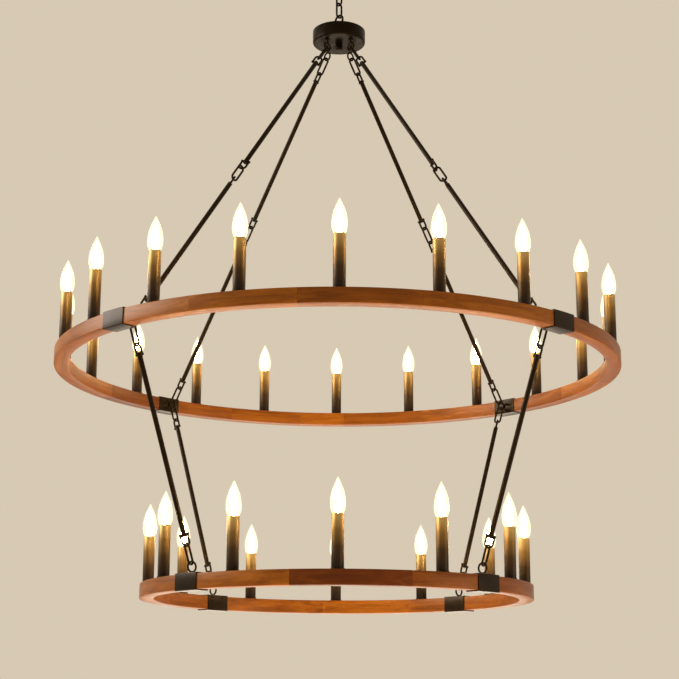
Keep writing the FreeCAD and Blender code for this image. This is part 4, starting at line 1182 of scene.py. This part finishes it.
# %% [markdown]
# ## Rods and loose links
#
# A rod ends in a bail: a U of wire round the rod's end, closed by a pin through the rod. Loose
# links join rod to rod and rod to eye. Each line lies in an upright plane through the axis, so
# a piece is placed by its distance down the line, leant to the line's slope and turned to its
# corner. Nothing holds links and bails square on the line, so each has its own turn about it.

# %% Places on the lines
LINE_WIRE = 4.5 * MM
LINK_LENGTH = 46 * MM
LINK_WIDTH = 19 * MM
LINK_PITCH = LINK_LENGTH - LINE_WIRE
PLAY = 0.5 * MM
LAST_PLAY = 0.85 * MM
HOOK = (EYE_WIRE + LINE_WIRE) / 2 + PLAY
LAST_HOOK = (EYE_WIRE + LINE_WIRE) / 2 + LAST_PLAY
LINK_HOOK = LINE_WIRE + PLAY
HUB_EYE = Vector((HUB_EYE_CIRCLE, 0, -269 * MM))
UPPER_EYE = Vector((565.3 * MM, 0, -1015 * MM))
LOWER_EYE = Vector((397.8 * MM, 0, -1472.4 * MM))
HUB_EYE_RADIUS = (HUB_EYE_WIDTH - EYE_WIRE) / 2
CLAMP_EYE_RADIUS = (CLAMP_EYE_WIDTH - EYE_WIRE) / 2
UPPER_LINE = {"start": HUB_EYE, "end": UPPER_EYE, "first_eye": HUB_EYE_RADIUS,
              "last_eye": CLAMP_EYE_RADIUS, "last_hook": HOOK,
              "rods": ("upper_rod", "middle_rod"), "links": "upper_links"}
LOWER_LINE = {"start": UPPER_EYE, "end": LOWER_EYE, "first_eye": CLAMP_EYE_RADIUS,
              "last_eye": CLAMP_EYE_RADIUS, "last_hook": LAST_HOOK,
              "rods": ("lower_rod",), "links": "lower_links"}


def rod_pitch(line):
    """The distance between a rod's two bows, worked out from what the links take up."""
    rods = len(line["rods"])
    span = (line["end"] - line["start"]).length - line["first_eye"] - line["last_eye"]
    taken = (rods + 1) * LINK_PITCH - 2 * rods * LINK_HOOK - HOOK - line["last_hook"]
    return (span - taken) / rods


def on_line(line, distance, corner, twist=0):
    """The place at a distance below the first eye's wire, with Z up the line."""
    down = (line["end"] - line["start"]).normalized()
    spot = line["start"] + down * (line["first_eye"] + distance)
    lean = Matrix.Rotation(math.atan2(-down.x, -down.z), 4, "Y")
    return about_z(corner) @ Matrix.Translation(spot) @ lean @ about_z(twist)


for line in (UPPER_LINE, LOWER_LINE):
    print(line["links"], "rod pitch", round(rod_pitch(line) / MM, 2), "mm")

# %% [markdown]
# A bail is half a torus whose two cut ends are drawn out straight to the pin. The pin is a
# short round bar with broken edges. How far each piece stands turned about its line, in
# degrees, is in a table, listed downwards.

# %% Rods
BAIL = {"width": 20 * MM, "reach": 25 * MM, "pin_width": 5.2 * MM, "pin_length": 21 * MM}
ROD_HALF_WIDTH = 5 * MM
ROD_BEYOND_PIN = 4.5 * MM


def bail_shape():
    """A U of wire round the origin, its bow upwards, with its pin below."""
    bail = wire_ring(BAIL["width"], LINE_WIRE, UPRIGHT)
    choose(bail, "FACE", lambda centre, normal: centre.z < 0)
    bpy.ops.mesh.delete(type="FACE")
    open_all(bail)
    bpy.ops.mesh.select_all(action="DESELECT")
    bpy.ops.mesh.select_non_manifold()
    arm = BAIL["reach"] - BAIL["width"] / 2
    bpy.ops.mesh.extrude_region_move(TRANSFORM_OT_translate={"value": (0, 0, -arm)})
    bpy.ops.mesh.edge_face_add()
    leave_edit()
    half, edge = BAIL["pin_length"] / 2, 0.5 * MM
    radius = BAIL["pin_width"] / 2
    pin = lathe([(radius - edge, -half), (radius, -half + edge), (radius, half - edge),
                 (radius - edge, half)], sides=20)
    pin.matrix_world = Matrix.Translation((0, 0, -arm)) @ Matrix.Rotation(math.pi / 2, 4, "Y")
    return merged(bail, settle(pin))


def rod_shape(pitch, turns):
    """A rod on the Z axis with a bail at each end, each with its own turn."""
    whole = pitch + LINE_WIRE
    half = whole / 2 - BAIL["reach"] + ROD_BEYOND_PIN
    wide, edge = ROD_HALF_WIDTH, 0.6 * MM
    rod = rounded_lathe(
        [(2 * MM, -half), (wide - edge, -half), (wide, -half + edge), (wide, -half / 3),
         (wide, half / 3), (wide, half - edge), (wide - edge, half), (2 * MM, half)],
        0.25 * MM, sides=32, steps=2)
    bails = []
    for beyond, turn in zip((1, -1), turns):
        bail = bail_shape()
        bow = Matrix.Translation((0, 0, beyond * (whole - BAIL["width"]) / 2))
        upside = Matrix.Rotation(0 if beyond > 0 else math.pi, 4, "X")
        bail.matrix_world = bow @ about_z(turn) @ upside
        bails.append(settle(bail))
    return merged(rod, *bails)


# %% Turns of the loose pieces
SQUARE_LINE = {"upper_links": (90, 90, 90), "upper_rod": (0, 0), "middle_rod": (0, 0),
               "lower_links": (90, 90), "lower_rod": (0, 0)}
LOOSE_TURNS = {
    "back_right": {"upper_links": (96, 88, 94), "upper_rod": (12, -8),
                   "lower_links": (105, 84), "lower_rod": (45, -6)},
    "back_left": {"upper_links": (86, 94, 92), "upper_rod": (-10, 6), "middle_rod": (9, 5)},
    "front_left": {"upper_links": (80, 4, 94), "upper_rod": (-35, -59), "middle_rod": (67, 10),
                   "lower_links": (92, 84), "lower_rod": (8, -12)},
    "front_right": {"upper_links": (102, 35, 88), "upper_rod": (20, -35),
                    "middle_rod": (-75, -8), "lower_links": (84, 100), "lower_rod": (-10, 20)},
}
print("corners with loose turns:", len(LOOSE_TURNS))


# %% Hang the lines
def hang_line(line, body, corner, turns):
    """One line of rods and links, from its first eye down to its last."""
    pitch = rod_pitch(line)
    link_places = []
    bar = -HOOK
    for number, rod_name in enumerate(line["rods"]):
        link_places.append(bar + LINK_PITCH / 2)
        bar += LINK_PITCH - LINK_HOOK
        rod = rod_shape(pitch, turns[rod_name])
        rod.matrix_world = on_line(line, bar + pitch / 2, CORNERS[corner])
        stands_for(settle(rod), body, f"{corner}_{rod_name}_with_bails", f"{corner}_{rod_name}")
        bar += pitch - LINK_HOOK
    link_places.append(bar + LINK_PITCH / 2)
    link = wire_link(LINK_LENGTH, LINK_WIDTH, LINE_WIRE)
    chain = repeated(link, [
        on_line(line, distance, CORNERS[corner], twist)
        for distance, twist in zip(link_places, turns[line["links"]])])
    stands_for(chain, body, f"{corner}_loose_{line['links']}", f"{corner}_{line['links']}")


for corner in CORNERS:
    corner_turns = {**SQUARE_LINE, **LOOSE_TURNS[corner]}
    hang_line(UPPER_LINE, f"{corner}_upper_line", corner, corner_turns)
    hang_line(LOWER_LINE, f"{corner}_lower_line", corner, corner_turns)

# %% [markdown]
# ## The last line
#
# The picture's model has to stay inside the CAD model's box. The script ends with nothing
# being edited and nothing selected.

# %% Finish
leave_edit()
bpy.ops.object.select_all(action="DESELECT")
